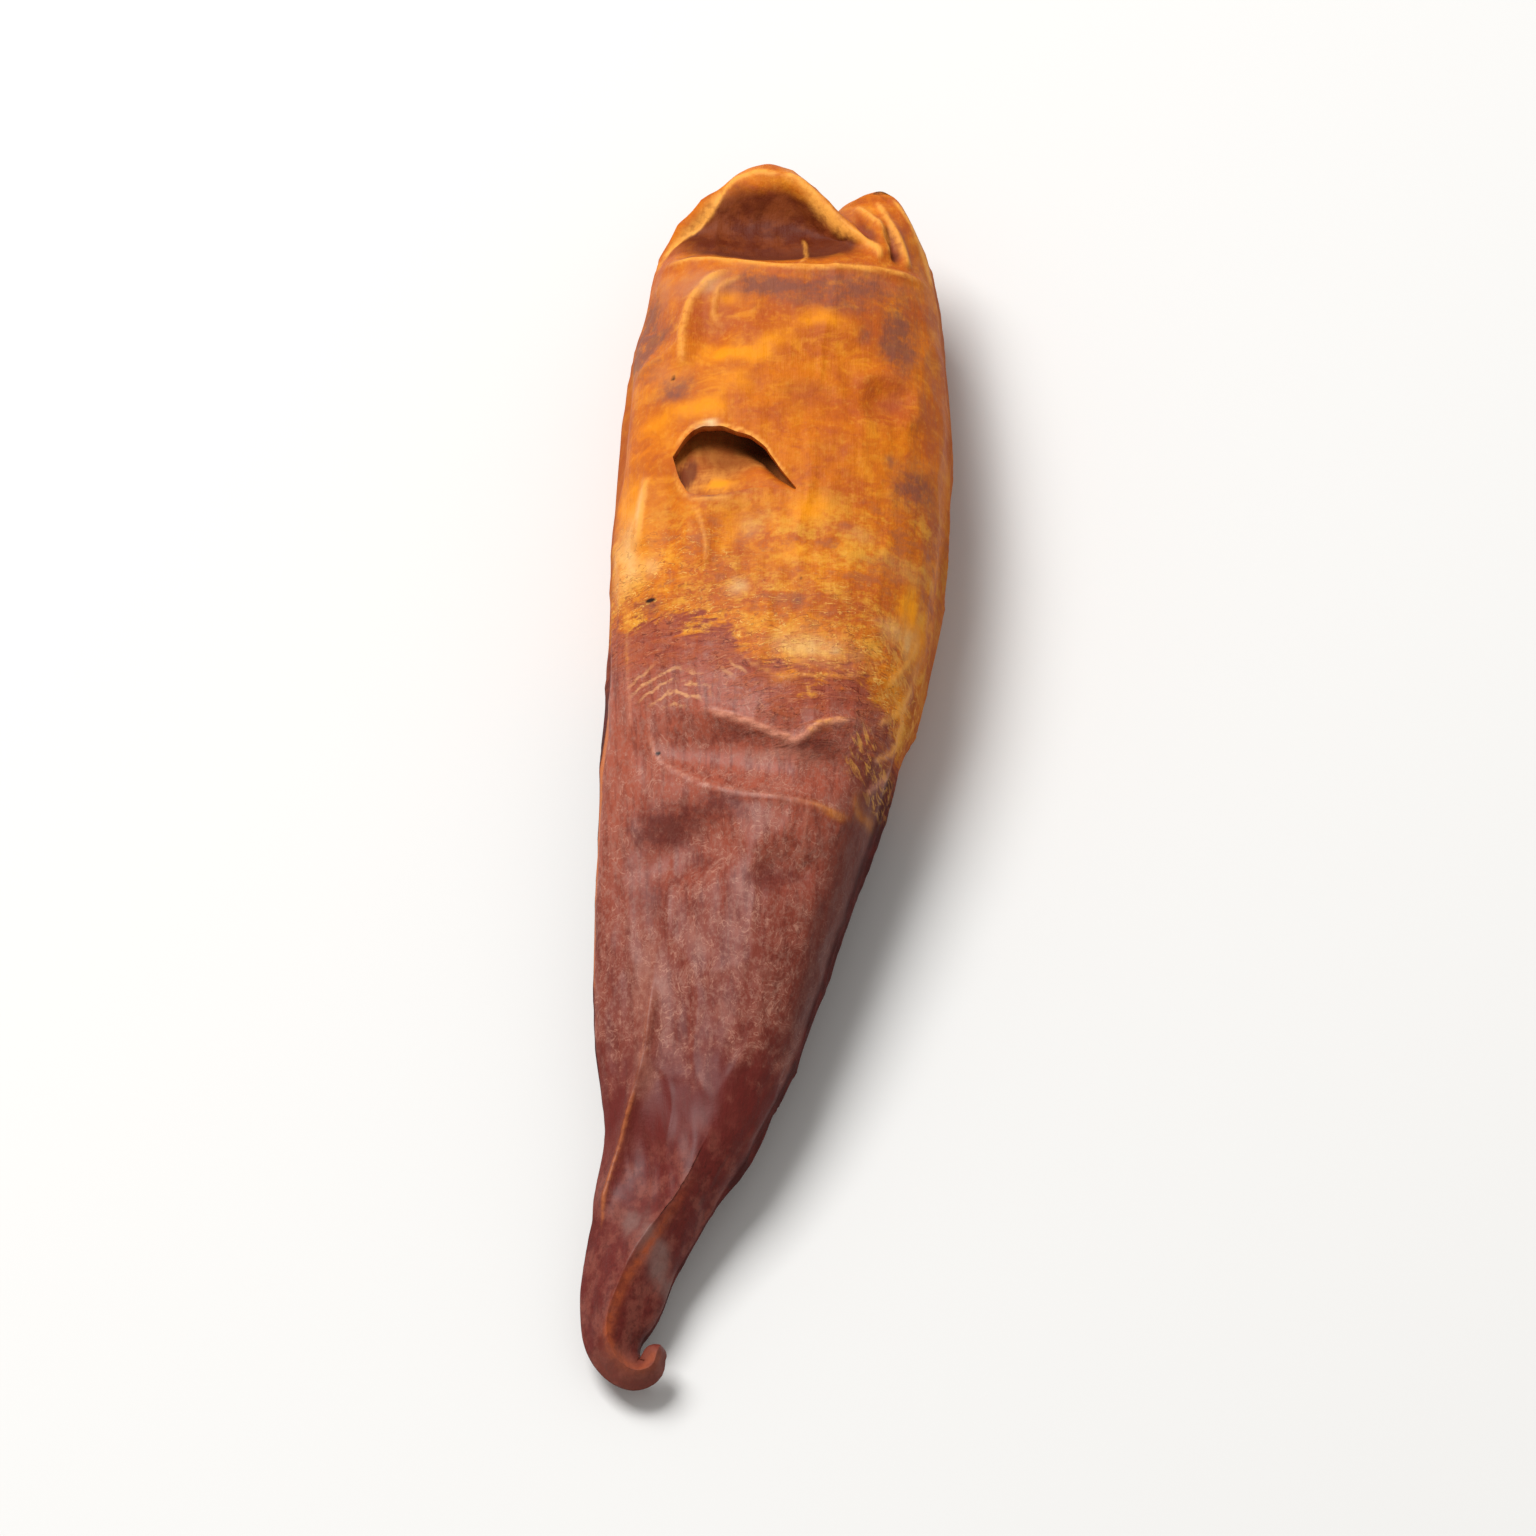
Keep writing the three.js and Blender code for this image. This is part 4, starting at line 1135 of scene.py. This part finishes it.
    lengthwise = f.noise(place, "lengthwise")
    relief = fine * 0.4 + lengthwise * 0.5 + arcs * in_edge * 0.8 + grain * 0.3
    bump = f.node("ShaderNodeBump", {}, {**SKIN_BUMP, "Height": relief})
    return f.finish(
        Base_Color=colour,
        Roughness=0.42 + mottle * 0.2 + f.fact("scar") * 0.3 + f.ease(above, 1.0, 0.2) * 0.2,
        Normal=bump,
        Specular_IOR_Level=0.1,
        Coat_Weight=f.ease(rusted, 0.0, 0.8, 0.2, 0.03) * f.ease(above, 0.2, 0.9, 0.1, 1.0),
        Coat_Roughness=0.33,
    )


def torn_inner_skin():
    """The inside of the skin where it is torn: tan and dry, with painted shade that darkens it the further
    down it lies.
    """
    f = Finish("torn_inner_skin")
    place = f.place()
    depth = f.fact("depth")
    grain = f.noise(place, "torn grain")
    bands = f.noise(place, "torn bands")
    colour = f.blend(f.ease(grain + bands * 0.5, 0.55, 0.95), "torn tan", "pale torn tan")
    # Painted light on the flap.
    colour = f.blend(f.ease(f.fact("lit") + (grain - 0.5) * 0.5, 0.0, 1.0), colour, "lit flap")
    # Painted shade, darker the deeper the torn inside lies under the lip.
    colour = f.blend(f.ease(depth + (bands - 0.5) * 0.5, 0.5, 1.3) * 0.7, colour, "painted brown shade inside")
    colour = f.blend(f.ease(depth, 1.5, 2.8), colour, "painted dark shade inside")
    # Painted shade at the left of the flap.
    colour = f.blend(f.ease(f.fact("shaded"), 0.2, 0.8) * 0.85, colour, "shaded flap")
    runs_under = f.ease(depth, 0.9, 0.4) * f.ease(f.axis(place, 0), -3.0, -1.0)
    colour = f.blend(runs_under, colour, bleached_flesh(f, place, f.fact("above")))
    bump = f.node("ShaderNodeBump", {}, {**TORN_BUMP, "Height": grain + bands * 0.5})
    return f.finish(Base_Color=colour, Roughness=0.6, Normal=bump, Specular_IOR_Level=0.15)


def make_pod():
    points, facts = shape_skin()
    rows = len(points) // AROUND
    end = spine(1.0) + spine_tangent(np.array(1.0)) * SECTIONS[-1][2]
    pit = plain_skin(0.0, 0.0, 0.0)
    waist = mix(SECTIONS[-1][4], SECTIONS[-1][3], WAIST)
    closed = np.vstack([points, pit, [*end, waist]])
    materials = [dried_skin(), torn_inner_skin()]
    pod = make_mesh("chili_pod", closed, closed_skin(points, rows), materials)
    cut(pod, tear_cutter(materials))
    write_facts(pod.data, points, facts)
    mark_torn_edges(pod.data)

    places = mesh_points(pod.data)
    low, high = places.min(0), places.max(0)
    cad_low, cad_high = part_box("pod")
    shift = (Vector(cad_low) + Vector(cad_high)) / 2 - Vector((low + high) / 2)
    shift.z = cad_low[2] - low[2]
    pod.data.transform(Matrix.Translation(shift))
    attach(pod, "root")
    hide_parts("pod")
    return pod


def make_floor():
    f = Finish("pale_floor")
    bpy.ops.mesh.primitive_plane_add(size=FLOOR_SIZE)
    floor = bpy.context.active_object
    floor.name = "floor"
    floor.data.materials.append(f.finish(Base_Color=tone("floor"), Roughness=0.7))


def softbox(name, place, size, power):
    """A square lamp that shines at the pod."""
    light = bpy.data.lights.new(name, "AREA")
    light.size = size
    light.energy = power
    lamp = bpy.data.objects.new(name, light)
    lamp.location = place
    lamp.rotation_mode = "QUATERNION"
    lamp.rotation_quaternion = (-Vector(place)).to_track_quat("-Z", "Y")
    bpy.context.scene.collection.objects.link(lamp)


def light_scene():
    world = bpy.data.worlds.new("studio")
    world.use_nodes = True
    background = world.node_tree.nodes["Background"]
    background.inputs["Color"].default_value = STUDIO_GLOW["colour"]
    background.inputs["Strength"].default_value = STUDIO_GLOW["strength"]
    bpy.context.scene.world = world
    bpy.context.scene.view_settings.view_transform = "Standard"
    softbox("big_softbox", SOFTBOX["place"], SOFTBOX["size"], SOFTBOX["power"])


def place_camera():
    """A long lens that looks down at the pod from beyond its tip."""
    elevation = math.radians(LENS["elevation"])
    camera = bpy.data.objects.new("camera", bpy.data.cameras.new("camera"))
    camera.data.lens = LENS["length"]
    away = Vector((0, -math.cos(elevation), math.sin(elevation)))
    camera.location = Vector((0, 0, LENS["aim_height"])) + away * LENS["distance"]
    camera.rotation_mode = "QUATERNION"
    camera.rotation_quaternion = (-away).to_track_quat("-Z", "Y")
    bpy.context.scene.collection.objects.link(camera)
    bpy.context.scene.camera = camera


place_camera()
make_floor()
light_scene()
make_pod()
